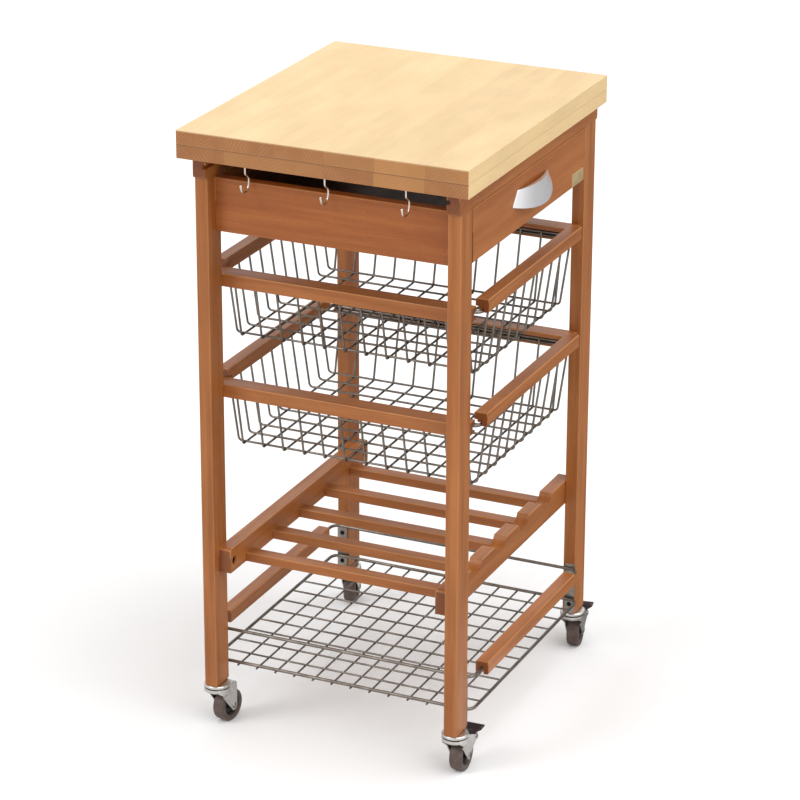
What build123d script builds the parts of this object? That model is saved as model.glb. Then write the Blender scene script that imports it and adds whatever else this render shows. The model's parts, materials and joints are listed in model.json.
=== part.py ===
# Kitchen trolley: four wooden legs on castors, a sliding top of two hinged leaves, a drawer,
# two sliding wire baskets, a bottle rack and a wire tray.
# Millimetres, +Z up, drawer front facing -Y. Sizes are set out from the point on the floor midway
# between the legs; the finished pieces are then moved so that the origin is the whole box's bottom centre.

import os
from math import cos, radians, sin

from build123d import *

os.makedirs("parts", exist_ok=True)

# Frame
frame_length = 459.4
frame_depth = 374.6
leg_x = 36.6
leg_y = 18.4
leg_length = 728.4
castor_height = 66.0
wood_edge = 1.5
leg_foot_edge = 2.0

# Cross rails on the leg tops
rail_height = 28.35
rail_overhang = 4.5
rail_corner = 4.5
rail_groove_height = 6.0
rail_groove_depth = 5.0
rail_groove_below_top = 9.0

# Aprons and back panel
apron_thickness = 16.0
apron_height = 73.0
apron_below_leg_top = 3.4
back_panel_inset = 2.0

# Drawer
drawer_front_thickness = 18.4
drawer_gap_top = 1.5
drawer_gap_side = 1.0
drawer_front_height = 72.5
drawer_side_thickness = 12.0
drawer_side_height = 54.0
drawer_side_below_front_top = 13.0
drawer_length = 322.0
drawer_bottom_thickness = 3.0
drawer_bottom_lift = 5.0
drawer_panel_groove = 5.0
runner_height = 14.0
runner_depth = 7.5
runner_lift = 20.0
runner_fit = 0.5
fit = 0.05

# Bow pull, a thin cast shell open above and below
pull_shift = 3.4
pull_half_top = 50.3
pull_bulge_top = 11.8
pull_half_bottom = 66.0
pull_bulge_bottom = 16.5
pull_height = 19.6
pull_dip = 9.9
pull_below_front_top = 18.3
pull_wall = 2.0
pull_lip = 4.8
pull_foot = 8.0

# Blank plate on the drawer front
plate_width = 40.0
plate_height = 18.5
plate_thickness = 1.0
plate_from_side = 8.0
plate_from_bottom = 1.4

# Basket rails
basket_rail_below_leg_top = {"upper": 140.0, "lower": 296.2}
basket_rail_height = 18.4
basket_rail_width = 27.1
basket_rail_inset = 5.5
groove_depth = 7.0
groove_clearance = 0.5

# Wire baskets
rim_wire = 4.8
under_wire = 3.2
under_gap = 0.2
net_wire = 3.0
basket_rim_below_rail = 9.0
basket_depth = 94.0
basket_corner = 12.0
basket_overhang = 9.8
net_side_slope = 20.3
net_end_slope = 12.8
net_side_bend = 4.0
net_end_bend = 5.5
weld_gap = 0.02
net_end_gap = 0.05
basket_cross_count = 12
basket_cross_pitch = 30.4
basket_long_count = 10
net_rail_gap = 0.6
bar_section = 18.4
bar_gap_side = 5.0
bar_above_rail = 8.5
bar_rebate_length = 10.0
bar_rebate_width = 11.0
bar_rebate_height = 8.0
bar_edge = 2.0

# Bottle rack
rack_bottom = 236.3
rack_rail_height = 35.0
rack_rail_thickness = 18.4
rack_rail_inset = 11.7
notch_count = 4
notch_pitch = 82.0
notch_radius = 22.0
notch_depth = 13.0
slat_width = 18.4
slat_height = 13.5
rack_corner = 6.0
bolt_inset = 11.0
bolt_lift = 15.7
bolt_shank = 6.0
bolt_head = 12.0
bolt_head_height = 4.5
bolt_sink = 7.0
bolt_into_leg = 14.0

# Wire tray
tray_wire_size = 4.5
tray_net_wire = 2.7
tray_low_loop = 90.5
tray_loop_rise = 48.0
tray_overhang = 5.0
tray_corner = 12.0
tray_poke = 2.5
tray_cross_count = 12
tray_cross_pitch = 28.3
tray_long_count = 10
tray_long_pitch = 35.0
tray_bar_gap = 37.0
tray_bar_below_wire = 8.5

# Steel straps
strap_width = 15.5
strap_thickness = 1.5
strap_bottom = 68.0
strap_height = 77.0
strap_screw_heights = (14.0, 59.0)
strap_screw_shank = 3.5
strap_screw_head = 7.0
strap_screw_length = 13.0
strap_screw_head_height = 1.6

# Rail screws
rail_screw_shank = 5.0
rail_screw_head = 9.0
rail_screw_length = 60.0

# Top
top_length = 472.6
top_depth = 408.6
leaf_thickness = 18.3
leaf_gap = 0.35
slide_gap = 0.3
top_shift = -11.4
top_edge = 2.0
guide_length = 380.0
guide_width = 17.0
guide_height = 16.0
guide_gap = 1.5
tongue_height = 5.0
tongue_depth = 4.0

# Hinges on the far edge of the leaves
hinge_places = (-120.0, 120.0)
hinge_length = 50.0
hinge_knuckle = 5.0
hinge_pin = 2.6
hinge_plate = 1.5
hinge_plate_height = 14.0
hinge_offset = 0.25
hinge_middle = 20.0
hinge_end_gap = 0.2
hinge_clear = 0.5

# Cup hooks
hook_places = (-110.0, 3.0, 116.0)
hook_from_edge = 21.7
hook_wire = 2.8
hook_screw = 12.0
hook_drop = 42.5
hook_bulge = 10.5
hook_reach = 10.0
hook_bend = 3.5

# Castors: swivel angle of each one at rest, and which ones have a brake
castor_angles = {"front_left": 2.0, "front_right": 10.0, "back_left": -9.0, "back_right": 14.0}
castor_braked = {"front_left": True, "front_right": True, "back_left": False, "back_right": False}
wheel_radius = 23.0
wheel_width = 18.6
tyre_edge = 3.0
hub_radius = 15.0
hub_width = 13.0
hub_boss_radius = 6.0
castor_trail = 23.0
axle_size = 6.0
fork_gap = 1.1
fork_wall = 1.6
rivet_head = 9.0
rivet_head_height = 1.2
race_radius = 18.3
race_plate = 4.8
race_gap = 1.4
crown_height = 5.8
race_edge = 1.6
king_pin = 8.0
king_pin_collar = 2.0
king_pin_head = 1.5
fork_boss_wall = 3.5
fork_ear_wall = 3.0
fork_front = 12.8
fork_throat_x = 4.0
fork_throat_drop = 8.0
fork_shoulder = 3.0
crown_taper = 12.0
rivet_taper = 20.0
stem_size = 10.0
stem_length = 35.0
brake_pivot_x = 49.0
brake_pivot_z = 38.5
brake_rivet = 4.0
brake_barrel = 8.0
brake_side_gap = 0.5
brake_nose = 7.0
brake_nose_angle = 240.0
pedal_top = 51.0
pedal_slab = 2.2
pedal_half_width = 18.5
pedal_neck_half_width = 6.5
pedal_neck_length = 12.0
pedal_neck_rise = 4.5
pedal_length = 13.0
pedal_set_back = 7.0
pedal_corner = 1.0
shoe_tip = 1.0
shoe_root = 3.2

# Places worked out from the sizes above
leg_cx = frame_length / 2 - leg_x / 2
leg_cy = frame_depth / 2 - leg_y / 2
leg_inner_x = frame_length / 2 - leg_x
leg_inner_y = frame_depth / 2 - leg_y
leg_top = castor_height + leg_length
rail_top = leg_top + rail_height
leaf_bottom = rail_top + slide_gap
leaf_middle = leaf_bottom + leaf_thickness
upper_bottom = leaf_middle + leaf_gap
top_far_edge = top_shift + top_length / 2
top_near_edge = top_shift - top_length / 2
apron_top = leg_top - apron_below_leg_top
apron_bottom = apron_top - apron_height
front_top = leg_top - drawer_gap_top
front_bottom = front_top - drawer_front_height
basket_rail_face = leg_inner_x - basket_rail_width
corners = {"front_left": (-1, -1), "front_right": (1, -1), "back_left": (-1, 1), "back_right": (1, 1)}


finished = {}


def save(piece, name):
    """Keep a finished piece under its name until the whole trolley is made."""
    finished[name] = piece


def span(low, high):
    """Middle and length of a stretch."""
    return (low + high) / 2, high - low


def block(x_range, y_range, z_range, mode=Mode.ADD):
    """A box between two corners, added to the part being built."""
    (x, dx), (y, dy), (z, dz) = span(*x_range), span(*y_range), span(*z_range)
    with Locations((x, y, z)):
        return Box(dx, dy, dz, mode=mode)


def side(sign, low, high):
    """A stretch given for the positive side, carried to the side named by sign."""
    return tuple(sorted((sign * low, sign * high)))


def plane_xz(y):
    """Upright plane facing -Y: local x is X, local y is Z."""
    return Plane(origin=(0, y, 0), x_dir=(1, 0, 0), z_dir=(0, -1, 0))


def plane_yz(x):
    """Upright plane facing +X: local x is Y, local y is Z."""
    return Plane(origin=(x, 0, 0), x_dir=(0, 1, 0), z_dir=(1, 0, 0))


def spread(count, pitch):
    """Evenly pitched places about zero."""
    return [(k - (count - 1) / 2) * pitch for k in range(count)]


def bent_wire(plane, points, bend, radius):
    """A round wire along a bent path, kept apart from the part being built."""
    with BuildLine(plane) as path:
        FilletPolyline(*points, radius=bend)
    with BuildSketch(Plane(origin=path.line @ 0, z_dir=path.line % 0)) as section:
        Circle(radius)
    return sweep(section.sketch, path=path.line, mode=Mode.PRIVATE)


def wire_loop(half_x, half_y, corner, z, radius):
    """A closed level loop of round wire with rounded corners, kept apart."""
    with BuildSketch(Plane.XY.offset(z), mode=Mode.PRIVATE) as outline:
        RectangleRounded(2 * half_x, 2 * half_y, corner)
    path = outline.sketch.face().outer_wire()
    with BuildSketch(Plane(origin=path @ 0, z_dir=path % 0)) as section:
        Circle(radius)
    return sweep(section.sketch, path=path, mode=Mode.PRIVATE)


# Legs
# The foot of each leg is bored for the castor stem, its top for a rail screw.
for name, (sx, sy) in corners.items():
    with BuildPart() as leg:
        block(
            (sx * leg_cx - leg_x / 2, sx * leg_cx + leg_x / 2),
            (sy * leg_cy - leg_y / 2, sy * leg_cy + leg_y / 2),
            (castor_height, leg_top),
        )
        fillet(leg.edges().filter_by(Axis.Z), radius=wood_edge)
        fillet(leg.edges().group_by(Axis.Z)[0], radius=leg_foot_edge)
        with Locations((sx * leg_cx, sy * leg_cy, castor_height)):
            Cylinder(
                stem_size / 2 + fit, stem_length + fit,
                align=(Align.CENTER, Align.CENTER, Align.MIN), mode=Mode.SUBTRACT,
            )
        with Locations((sx * leg_cx, sy * leg_cy, leg_top)):
            Cylinder(
                rail_screw_shank / 2 + fit, rail_screw_length - rail_height + fit,
                align=(Align.CENTER, Align.CENTER, Align.MAX), mode=Mode.SUBTRACT,
            )
        strap_screw_y = sy * (frame_depth / 2 - strap_width / 2 - fit)
        for lift in strap_screw_heights:
            hole_plane = Plane(
                origin=(sx * leg_inner_x, strap_screw_y, strap_bottom + lift), z_dir=(sx, 0, 0)
            )
            with BuildSketch(hole_plane):
                Circle(strap_screw_shank / 2 + fit)
            extrude(amount=strap_screw_length - strap_thickness + fit, mode=Mode.SUBTRACT)
        bolt_plane = Plane(
            origin=(sx * (frame_length / 2 - rack_rail_inset - bolt_inset), sy * leg_inner_y,
                    rack_bottom + bolt_lift),
            z_dir=(0, sy, 0),
        )
        with BuildSketch(bolt_plane):
            Circle(bolt_shank / 2 + fit)
        extrude(amount=bolt_into_leg + fit, mode=Mode.SUBTRACT)
    save(leg.part, f"leg_{name}")

# Cross rails
# Each lies on two leg tops, and its inner face is grooved for the top's guide tongue.
groove_top = rail_top - rail_groove_below_top
for name, sy in (("front", -1), ("back", 1)):
    half = frame_length / 2 + rail_overhang
    with BuildPart() as rail:
        block((-half, half), side(sy, leg_inner_y, frame_depth / 2), (leg_top, rail_top))
        fillet(rail.edges().filter_by(Axis.Y).group_by(Axis.Z)[0], radius=rail_corner)
        block(
            (-half, half),
            side(sy, leg_inner_y, leg_inner_y + rail_groove_depth),
            (groove_top - rail_groove_height, groove_top),
            mode=Mode.SUBTRACT,
        )
        for sx in (-1, 1):
            with Locations((sx * leg_cx, sy * leg_cy, rail_top)):
                CounterSinkHole(rail_screw_shank / 2 + fit, rail_screw_head / 2 + fit, depth=rail_height)
    save(rail.part, f"rail_{name}")

# Aprons and back panel
for name, sx in (("left", -1), ("right", 1)):
    with BuildPart() as apron:
        block(
            side(sx, leg_inner_x, leg_inner_x + apron_thickness),
            (-leg_inner_y, leg_inner_y),
            (apron_bottom, apron_top),
        )
        fillet(apron.edges().filter_by(Axis.Y), radius=wood_edge)
    save(apron.part, f"apron_{name}")

panel_outer = frame_depth / 2 - back_panel_inset
panel_inner = panel_outer - apron_thickness
with BuildPart() as back_panel:
    block((-leg_inner_x, leg_inner_x), (panel_inner, panel_outer), (apron_bottom, apron_top))
    fillet(back_panel.edges().filter_by(Axis.X), radius=wood_edge)
save(back_panel.part, "back_panel")

# Drawer runners, one on each apron
side_bottom = front_top - drawer_side_below_front_top - drawer_side_height
side_top = side_bottom + drawer_side_height
runner_bottom = side_bottom + runner_lift
runner_front = -leg_inner_y + runner_fit
with BuildPart() as runners:
    for sx in (-1, 1):
        block(
            side(sx, leg_inner_x - runner_depth, leg_inner_x),
            (runner_front, leg_inner_y),
            (runner_bottom, runner_bottom + runner_height),
        )
save(runners.part, "drawer_runners")

# Drawer front, with its top edge eased and a groove for the drawer bottom
front_face = -frame_depth / 2
front_back = front_face + drawer_front_thickness
front_half = leg_inner_x - drawer_gap_side
panel_bottom = side_bottom + drawer_bottom_lift
box_outer = leg_inner_x - drawer_gap_side
box_inner = box_outer - drawer_side_thickness
box_back = front_back + drawer_length
panel_half = box_inner + drawer_panel_groove
with BuildPart() as drawer_front:
    block((-front_half, front_half), (front_face, front_back), (front_bottom, front_top))
    fillet(drawer_front.edges().filter_by(Axis.X), radius=wood_edge)
    block(
        (-panel_half - fit, panel_half + fit),
        (front_back - drawer_panel_groove - fit, front_back),
        (panel_bottom - fit, panel_bottom + drawer_bottom_thickness + fit),
        mode=Mode.SUBTRACT,
    )
save(drawer_front.part, "drawer_front")

# Drawer sides, grooved outside for the runners and inside for the bottom
with BuildPart() as drawer_sides:
    for sx in (-1, 1):
        block(side(sx, box_inner, box_outer), (front_back, box_back), (side_bottom, side_top))
        block(
            side(sx, leg_inner_x - runner_depth - runner_fit, box_outer),
            (front_back, box_back),
            (runner_bottom - runner_fit, runner_bottom + runner_height + runner_fit),
            mode=Mode.SUBTRACT,
        )
        block(
            side(sx, box_inner, panel_half + fit),
            (front_back, box_back),
            (panel_bottom - fit, panel_bottom + drawer_bottom_thickness + fit),
            mode=Mode.SUBTRACT,
        )
save(drawer_sides.part, "drawer_sides")

with BuildPart() as drawer_back:
    block(
        (-box_inner, box_inner),
        (box_back - drawer_side_thickness, box_back),
        (panel_bottom + drawer_bottom_thickness + fit, side_top),
    )
save(drawer_back.part, "drawer_back")

with BuildPart() as drawer_bottom:
    block(
        (-panel_half, panel_half),
        (front_back - drawer_panel_groove, box_back),
        (panel_bottom, panel_bottom + drawer_bottom_thickness),
    )
save(drawer_bottom.part, "drawer_bottom")


def pull_arc(half, bulge, wall):
    """Outline between the drawer face and an arc bowed to -Y, moved in by a wall."""
    ends = half - wall
    with BuildLine() as outline:
        ThreePointArc(
            (pull_shift - ends, front_face), (pull_shift, front_face - bulge + wall),
            (pull_shift + ends, front_face),
        )
        Line((pull_shift + ends, front_face), (pull_shift - ends, front_face))
    make_face(outline.edges())


# Drawer pull
# A bowed shell, wider and deeper towards its lower edge, which dips in the middle. Its wall
# thickens upwards to a broad lip.
pull_top = front_top - pull_below_front_top
pull_bottom = pull_top - pull_height - pull_dip
flare = (pull_height + pull_dip) / pull_height
low_half = pull_half_top + (pull_half_bottom - pull_half_top) * flare
low_bulge = pull_bulge_top + (pull_bulge_bottom - pull_bulge_top) * flare
with BuildPart() as drawer_pull:
    with BuildSketch(Plane.XY.offset(pull_top)):
        pull_arc(pull_half_top, pull_bulge_top, 0)
    with BuildSketch(Plane.XY.offset(pull_bottom)):
        pull_arc(low_half, low_bulge, 0)
    loft(ruled=True)
    with BuildSketch(Plane.XY.offset(pull_top)):
        pull_arc(pull_half_top, pull_bulge_top, pull_lip)
    with BuildSketch(Plane.XY.offset(pull_bottom)):
        pull_arc(low_half, low_bulge, pull_wall)
    loft(ruled=True, mode=Mode.SUBTRACT)
    with BuildSketch(plane_xz(front_face)):
        with BuildLine():
            dip_arc = ThreePointArc(
                (pull_shift - pull_half_bottom, pull_top - pull_height),
                (pull_shift, pull_bottom),
                (pull_shift + pull_half_bottom, pull_top - pull_height),
            )
            Line(dip_arc @ 1, (pull_shift + pull_half_top, pull_top))
            Line((pull_shift + pull_half_top, pull_top), (pull_shift - pull_half_top, pull_top))
            Line((pull_shift - pull_half_top, pull_top), dip_arc @ 0)
        make_face()
    extrude(amount=low_bulge, mode=Mode.INTERSECT)
    foot_inset = pull_half_top - 2 * pull_foot
    for sx in (-1, 1):
        foot_x = pull_shift + sx * foot_inset
        arc_radius = (pull_half_top ** 2 + pull_bulge_top ** 2) / (2 * pull_bulge_top)
        foot_reach = pull_bulge_top - arc_radius + (arc_radius ** 2 - foot_inset ** 2) ** 0.5
        with BuildSketch(Plane(origin=(foot_x, front_face, pull_top - pull_height / 2), z_dir=(0, -1, 0))):
            Circle(pull_foot / 2)
        extrude(amount=foot_reach)
save(drawer_pull.part, "drawer_pull")

# Blank plate at the lower right of the drawer front
plate_right = front_half - plate_from_side
plate_low = front_bottom + plate_from_bottom
with BuildPart() as plate:
    block(
        (plate_right - plate_width, plate_right),
        (front_face - plate_thickness, front_face),
        (plate_low, plate_low + plate_height),
    )
save(plate.part, "blank_plate")

# Basket rails and baskets
# A rail's inner face is grooved for the basket's rim wire and the wire under it.
rim_y = frame_depth / 2 + basket_overhang - bar_section / 2
bar_half = basket_rail_face - bar_gap_side
net_top_x = basket_rail_face - net_rail_gap - net_wire / 2
net_slant = (basket_depth ** 2 + net_side_slope ** 2) ** 0.5 / basket_depth
rim_x = net_top_x + ((net_wire + rim_wire) / 2 + weld_gap) * net_slant
bend_reach = net_side_bend * (net_slant - net_side_slope / basket_depth)
outer_long_x = net_top_x - net_side_slope - bend_reach
basket_long_pitch = 2 * outer_long_x / (basket_long_count - 1)
for level, drop in basket_rail_below_leg_top.items():
    rail_z = leg_top - drop
    rim_z = rail_z - basket_rim_below_rail
    under_z = rim_z - rim_wire / 2 - under_wire / 2 - under_gap
    under_x = (
        net_top_x + ((net_wire + under_wire) / 2 + weld_gap) * net_slant
        - (rim_z - under_z) * net_side_slope / basket_depth
    )
    groove_low = under_z - under_wire / 2 - groove_clearance
    groove_high = rim_z + rim_wire / 2 + groove_clearance
    rail_end = frame_depth / 2 - basket_rail_inset
    for name, sx in (("left", -1), ("right", 1)):
        with BuildPart() as basket_rail:
            block(
                side(sx, basket_rail_face, leg_inner_x),
                (-rail_end, rail_end),
                (rail_z - basket_rail_height, rail_z),
            )
            fillet(basket_rail.edges().filter_by(Axis.Y), radius=wood_edge)
            block(
                side(sx, basket_rail_face, basket_rail_face + groove_depth),
                (-rail_end, rail_end),
                (groove_low, groove_high),
                mode=Mode.SUBTRACT,
            )
        save(basket_rail.part, f"basket_rail_{level}_{name}")

    # The basket: a rim, a thinner wire under each long side of it, and two sets of bent wires,
    # all spot welded where they cross. The outermost long wires lie in the bends of the cross wires.
    floor_z = rim_z - basket_depth
    wires = [wire_loop(rim_x, rim_y, basket_corner, rim_z, rim_wire / 2)]
    under_half = rim_y - basket_corner
    for sx in (-1, 1):
        with BuildPart(Plane(origin=(sx * under_x, -under_half, under_z), z_dir=(0, 1, 0))) as under:
            Cylinder(under_wire / 2, 2 * under_half, align=(Align.CENTER, Align.CENTER, Align.MIN))
        wires.append(under.part)
    for y in spread(basket_cross_count, basket_cross_pitch):
        cross_points = [
            (-net_top_x, rim_z),
            (-net_top_x + net_side_slope, floor_z),
            (net_top_x - net_side_slope, floor_z),
            (net_top_x, rim_z),
        ]
        wires.append(bent_wire(plane_xz(y), cross_points, net_side_bend, net_wire / 2))
    long_floor = floor_z + net_wire + weld_gap
    long_top = rim_z - rim_wire / 2 - net_end_gap
    for x in spread(basket_long_count, basket_long_pitch):
        long_points = [
            (-rim_y, long_top),
            (-rim_y + net_end_slope, long_floor),
            (rim_y - net_end_slope, long_floor),
            (rim_y, long_top),
        ]
        wires.append(bent_wire(plane_yz(x), long_points, net_end_bend, net_wire / 2))
    save(Compound(wires), f"basket_{level}_wire")

    # Wooden end bars, grooved underneath for the rim and rebated at the ends where its corners leave
    bar_top = rail_z + bar_above_rail
    for name, sy in (("front", -1), ("back", 1)):
        with BuildPart() as bar:
            bar_low = rim_y - bar_section / 2
            block(
                (-bar_half, bar_half),
                side(sy, bar_low, bar_low + bar_section),
                (bar_top - bar_section, bar_top),
            )
            fillet(bar.edges().filter_by(Axis.X), radius=bar_edge)
            wire_room = rim_wire / 2 + fit
            with BuildSketch(Plane.XY.offset(bar_top - bar_section)):
                RectangleRounded(2 * (rim_x + wire_room), 2 * (rim_y + wire_room), basket_corner + wire_room)
                RectangleRounded(
                    2 * (rim_x - wire_room), 2 * (rim_y - wire_room), basket_corner - wire_room,
                    mode=Mode.SUBTRACT,
                )
            extrude(amount=rim_z + wire_room - bar_top + bar_section, mode=Mode.SUBTRACT)
            for sx in (-1, 1):
                block(
                    side(sx, bar_half - bar_rebate_length, bar_half),
                    side(sy, bar_low, bar_low + bar_rebate_width),
                    (bar_top - bar_section, bar_top - bar_section + bar_rebate_height),
                    mode=Mode.SUBTRACT,
                )
        save(bar.part, f"basket_{level}_bar_{name}")

# Bottle rack
# The front rail is scalloped for bottle necks; the slats lie level with the undersides of the rails.
rack_half = frame_length / 2 - rack_rail_inset
rack_top = rack_bottom + rack_rail_height
rack_inner = leg_inner_y - rack_rail_thickness
bolt_x = rack_half - bolt_inset
bolt_z = rack_bottom + bolt_lift
for name, sy in (("front", -1), ("back", 1)):
    with BuildPart() as rack_rail:
        block((-rack_half, rack_half), side(sy, rack_inner, leg_inner_y), (rack_bottom, rack_top))
        fillet(rack_rail.edges().filter_by(Axis.Y).group_by(Axis.Z)[-1], radius=rack_corner)
        if name == "front":
            with BuildSketch(plane_xz(sy * rack_inner)):
                with Locations(*[(x, rack_top + notch_radius - notch_depth)
                                 for x in spread(notch_count, notch_pitch)]):
                    Circle(notch_radius)
            extrude(amount=rack_rail_thickness, mode=Mode.SUBTRACT)
        for sx in (-1, 1):
            face = Plane(origin=(sx * bolt_x, sy * rack_inner, bolt_z), z_dir=(0, sy, 0))
            with BuildSketch(face):
                Circle(bolt_shank / 2 + fit)
            extrude(amount=rack_rail_thickness, mode=Mode.SUBTRACT)
            with BuildSketch(face):
                Circle(bolt_head / 2 + fit)
            extrude(amount=bolt_sink, mode=Mode.SUBTRACT)
    save(rack_rail.part, f"rack_rail_{name}")

for number, x in enumerate(spread(notch_count + 1, notch_pitch), start=1):
    with BuildPart() as slat:
        block(
            (x - slat_width / 2, x + slat_width / 2),
            (-rack_inner, rack_inner),
            (rack_bottom, rack_bottom + slat_height),
        )
        fillet(slat.edges().filter_by(Axis.Y), radius=wood_edge)
    save(slat.part, f"rack_slat_{number}")

# Rack bolts, sunk in the rails' inner faces and run into the legs
with BuildPart() as rack_bolts:
    for sx, sy in corners.values():
        seat = Plane(origin=(sx * bolt_x, sy * (rack_inner + bolt_sink), bolt_z), z_dir=(0, sy, 0))
        with BuildSketch(seat):
            Circle(bolt_shank / 2)
        extrude(amount=rack_rail_thickness - bolt_sink + bolt_into_leg)
        with BuildSketch(seat):
            Circle(bolt_head / 2)
        extrude(amount=-bolt_head_height)
save(rack_bolts.part, "rack_bolts")

# Wire tray
# Two loops stand against the straps. The cross wires are spot welded under the lower loop,
# and the long wires lie on them inside it.
tray_x = leg_inner_x - strap_thickness - tray_wire_size / 2
tray_y = frame_depth / 2 + tray_overhang
tray_high_loop = tray_low_loop + tray_loop_rise
tray_radius = tray_wire_size / 2
cross_z = tray_low_loop - tray_radius - tray_net_wire / 2 - weld_gap
long_z = cross_z + tray_net_wire + weld_gap
tray_wires = [
    wire_loop(tray_x, tray_y, tray_corner, tray_low_loop, tray_radius),
    wire_loop(tray_x, tray_y, tray_corner, tray_high_loop, tray_radius),
]
cross_half = tray_x + tray_poke
long_half = tray_y - tray_radius - weld_gap
for y in spread(tray_cross_count, tray_cross_pitch):
    with BuildPart(Plane(origin=(-cross_half, y, cross_z), z_dir=(1, 0, 0))) as cross:
        Cylinder(tray_net_wire / 2, 2 * cross_half, align=(Align.CENTER, Align.CENTER, Align.MIN))
    tray_wires.append(cross.part)
for x in spread(tray_long_count, tray_long_pitch):
    with BuildPart(Plane(origin=(x, -long_half, long_z), z_dir=(0, 1, 0))) as long_wire:
        Cylinder(tray_net_wire / 2, 2 * long_half, align=(Align.CENTER, Align.CENTER, Align.MIN))
    tray_wires.append(long_wire.part)
save(Compound(tray_wires), "tray_wire")

# Tray bars, grooved underneath for the upper loop
tray_bar_half = leg_inner_x - tray_bar_gap
tray_bar_bottom = tray_high_loop - tray_bar_below_wire
for name, sy in (("front", -1), ("back", 1)):
    with BuildPart() as tray_bar:
        block(
            (-tray_bar_half, tray_bar_half),
            side(sy, tray_y - bar_section / 2, tray_y + bar_section / 2),
            (tray_bar_bottom, tray_bar_bottom + bar_section),
        )
        fillet(tray_bar.edges().filter_by(Axis.X), radius=bar_edge)
        wire_room = tray_radius + fit
        block(
            (-tray_bar_half, tray_bar_half),
            side(sy, tray_y - wire_room, tray_y + wire_room),
            (tray_bar_bottom, tray_high_loop + wire_room),
            mode=Mode.SUBTRACT,
        )
    save(tray_bar.part, f"tray_bar_{name}")

# Straps that hold the two loops on the legs
strap_face = leg_inner_x - strap_thickness
strap_y = frame_depth / 2 - strap_width / 2 - fit
with BuildPart() as straps:
    for sx, sy in corners.values():
        block(
            side(sx, strap_face, leg_inner_x),
            (sy * strap_y - strap_width / 2, sy * strap_y + strap_width / 2),
            (strap_bottom, strap_bottom + strap_height),
        )
        for lift in strap_screw_heights:
            strap_hole = (sx * strap_face, sy * strap_y, strap_bottom + lift)
            with BuildSketch(Plane(origin=strap_hole, z_dir=(sx, 0, 0))):
                Circle(strap_screw_shank / 2 + fit)
            extrude(amount=strap_thickness, mode=Mode.SUBTRACT)
save(straps.part, "tray_straps")

# Screws: one down through each rail end into its leg, two through each strap
with BuildPart() as screws:
    for sx, sy in corners.values():
        head_height = (rail_screw_head - rail_screw_shank) / 2
        with BuildSketch(Plane(origin=(sx * leg_cx, sy * leg_cy, 0), x_dir=(1, 0, 0), z_dir=(0, -1, 0))):
            with BuildLine():
                Polyline(
                    (0, rail_top - rail_screw_length),
                    (rail_screw_shank / 2, rail_top - rail_screw_length + rail_screw_shank / 2),
                    (rail_screw_shank / 2, rail_top - fit - head_height),
                    (rail_screw_head / 2, rail_top - fit),
                    (0, rail_top - fit),
                    close=True,
                )
            make_face()
        revolve(axis=Axis((sx * leg_cx, sy * leg_cy, 0), (0, 0, 1)))
        for lift in strap_screw_heights:
            seat = Plane(origin=(sx * strap_face, sy * strap_y, strap_bottom + lift), z_dir=(sx, 0, 0))
            with BuildSketch(seat):
                Circle(strap_screw_shank / 2)
            extrude(amount=strap_screw_length)
            with BuildSketch(seat):
                Circle(strap_screw_head / 2)
            extrude(amount=-strap_screw_head_height)
save(screws.part, "frame_screws")

# Top: two leaves, the upper one hinged on the far edge of the lower one
hinge_x = top_far_edge + hinge_offset
hinge_z = leaf_middle + leaf_gap / 2


def hinge_pockets(direction):
    """Cut the knuckle room and the plate recesses in a leaf's far edge."""
    for y in hinge_places:
        y_range = (y - hinge_length / 2 - hinge_end_gap, y + hinge_length / 2 + hinge_end_gap)
        with BuildSketch(Plane(origin=(hinge_x, y_range[0], hinge_z), z_dir=(0, 1, 0))) as room:
            Circle(hinge_knuckle / 2 + hinge_clear)
        extrude(room.sketch, amount=y_range[1] - y_range[0], mode=Mode.SUBTRACT)
        plate_reach = tuple(sorted((hinge_z, hinge_z + direction * (hinge_plate_height + fit))))
        block((top_far_edge - hinge_plate, top_far_edge), y_range, plate_reach, mode=Mode.SUBTRACT)


for name, low, direction in (("lower", leaf_bottom, -1), ("upper", upper_bottom, 1)):
    with BuildPart() as leaf:
        block(
            (top_near_edge, top_far_edge),
            (-top_depth / 2, top_depth / 2),
            (low, low + leaf_thickness),
        )
        fillet(leaf.edges().filter_by(Axis.Z), radius=top_edge)
        hinge_pockets(direction)
        if name == "lower":
            for y in hook_places:
                with Locations((top_near_edge + hook_from_edge, y, low)):
                    Cylinder(
                        hook_wire / 2 + fit, hook_screw + fit,
                        align=(Align.CENTER, Align.CENTER, Align.MIN), mode=Mode.SUBTRACT,
                    )
    save(leaf.part, f"top_{name}")

# Guide battens under the lower leaf, with tongues that run in the rails' grooves
tongue_middle = groove_top - rail_groove_height / 2
guide_outer = leg_inner_y - guide_gap
with BuildPart() as guides:
    for sy in (-1, 1):
        guide_x = (top_shift - guide_length / 2, top_shift + guide_length / 2)
        guide_y = side(sy, guide_outer - guide_width, guide_outer)
        block(guide_x, guide_y, (leaf_bottom - guide_height, leaf_bottom))
        block(
            guide_x,
            side(sy, guide_outer, guide_outer + tongue_depth),
            (tongue_middle - tongue_height / 2, tongue_middle + tongue_height / 2),
        )
save(guides.part, "top_guides")


def knuckle(y_low, y_high, direction, bore):
    """One stretch of hinge barrel with the plate that joins it, bored for the pin."""
    with BuildSketch(Plane(origin=(hinge_x, y_low, hinge_z), z_dir=(0, 1, 0))) as barrel:
        Circle(hinge_knuckle / 2)
    extrude(barrel.sketch, amount=y_high - y_low)
    plate_reach = tuple(sorted((hinge_z, hinge_z + direction * hinge_plate_height)))
    block((top_far_edge - hinge_plate, top_far_edge), (y_low, y_high), plate_reach)
    with BuildSketch(Plane(origin=(hinge_x, y_low, hinge_z), z_dir=(0, 1, 0))) as hole:
        Circle(bore)
    extrude(hole.sketch, amount=y_high - y_low, mode=Mode.SUBTRACT)


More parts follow.
